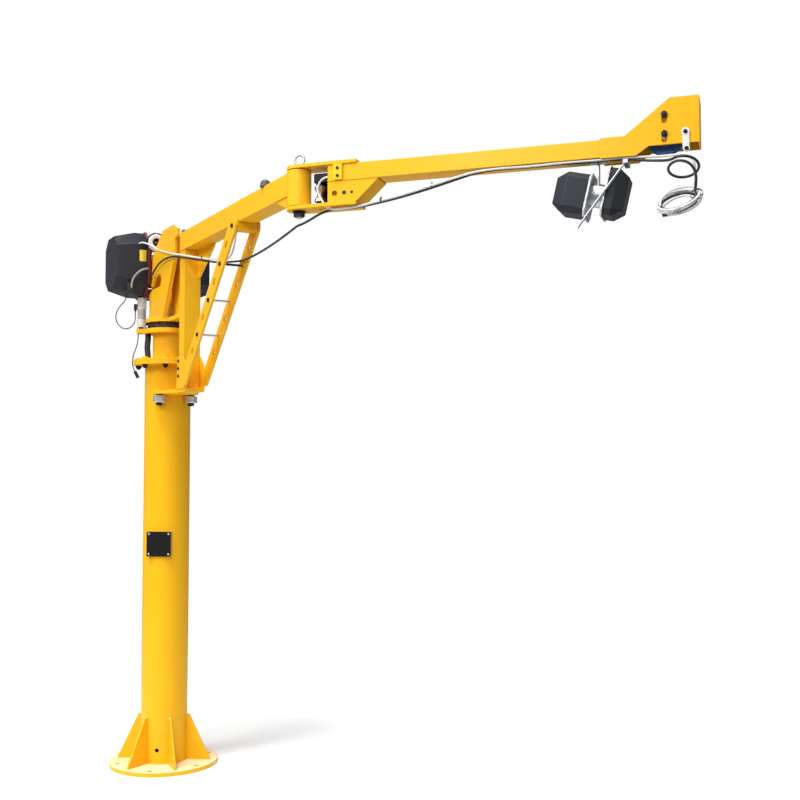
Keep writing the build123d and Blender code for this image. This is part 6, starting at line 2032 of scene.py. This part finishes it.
@dataclass
class Studio:
    """Pale floor, soft lights and the camera."""

    floor_r: float = 4400.0
    floor_drop: float = 0.3
    fade: tuple[float, float] = (1.1, 4.2)
    surroundings: Colour = (0.93, 0.96, 1.0)
    ambient: float = 0.28
    target: Point = (0.7, 0.3, 1.7)
    camera_at: Point = (5.1652, -1.6350, 1.4634)
    heading: float = 29.67
    pitch: float = 3.01
    lens: float = 48.8
    sensor: float = 36.0
    sight: float = 60.0

    def make(self) -> None:
        """Build the stage."""
        self.lay_floor()
        self.light_surroundings()
        for lamp in LAMPS:
            lamp.hang(Vector(self.target))
        self.set_camera()

    def lay_floor(self) -> None:
        """Pale matt floor that fades out into the white surroundings."""
        graph = Graph("floor")
        where = graph.node("ShaderNodeTexCoord", {}, {}, "Object")
        reach = graph.node("ShaderNodeVectorMath", {"operation": "LENGTH"}, {0: where}, "Value")
        mottle = graph.spots(1.3, 4.0)
        graph.surface(
            Base_Color=graph.tint(mottle, (0.90, 0.90, 0.895), (0.94, 0.94, 0.94)),
            Roughness=0.85,
            Specular_IOR_Level=0.05,
            Alpha=1.0 - graph.fade(reach, *self.fade),
        )
        form = Form()
        form.points = arc(CRANE.upright(0, 0, -self.floor_drop), self.floor_r, 0, 360, 96)[:-1]
        form.faces = [tuple(range(len(form.points)))]
        form.tones = [0]
        floor = form.mesh_object("floor", [])
        floor.data.materials.append(graph.material)

    def light_surroundings(self) -> None:
        """White to the eye, and a dimmer cool light on the crane."""
        world = bpy.data.worlds.new("studio")
        world.use_nodes = True
        nodes, links = world.node_tree.nodes, world.node_tree.links
        nodes.clear()
        rays = nodes.new("ShaderNodeLightPath")
        mix, out = nodes.new("ShaderNodeMixShader"), nodes.new("ShaderNodeOutputWorld")
        links.new(rays.outputs["Is Camera Ray"], mix.inputs[0])
        for socket, colour, strength in ((1, self.surroundings, self.ambient), (2, (1.0, 1.0, 1.0), 1.0)):
            shade = nodes.new("ShaderNodeBackground")
            shade.inputs["Color"].default_value = _opaque(colour)
            shade.inputs["Strength"].default_value = strength
            links.new(shade.outputs[0], mix.inputs[socket])
        links.new(mix.outputs[0], out.inputs["Surface"])
        bpy.context.scene.world = world
        bpy.context.scene.view_settings.view_transform = "Standard"

    def set_camera(self) -> None:
        """Camera at the photograph's point of view."""
        camera = bpy.data.cameras.new("camera")
        camera.lens = self.lens
        camera.sensor_width = self.sensor
        camera.clip_end = self.sight
        eye = bpy.data.objects.new("camera", camera)
        turn, rise = math.radians(self.heading), math.radians(self.pitch)
        ahead = Vector((-math.cos(turn) * math.cos(rise), math.sin(turn) * math.cos(rise), math.sin(rise)))
        eye.location = self.camera_at
        eye.rotation_euler = ahead.to_track_quat("-Z", "Y").to_euler()
        bpy.context.scene.collection.objects.link(eye)
        bpy.context.scene.camera = eye


def main() -> None:
    """Build the crane's sub-assemblies in order, then the studio."""
    logging.basicConfig(level=logging.INFO, format="%(name)s: %(message)s")
    crane = (Foot(), Neck(), InnerArm(), Struts(), GuideRollers(), Hoist(), Elbow(), OuterArm(), Harness())
    for assembly in (*crane, Studio()):
        assembly.make()
        LOG.info("%s built", type(assembly).__name__)


if __name__ == "__main__":
    main()
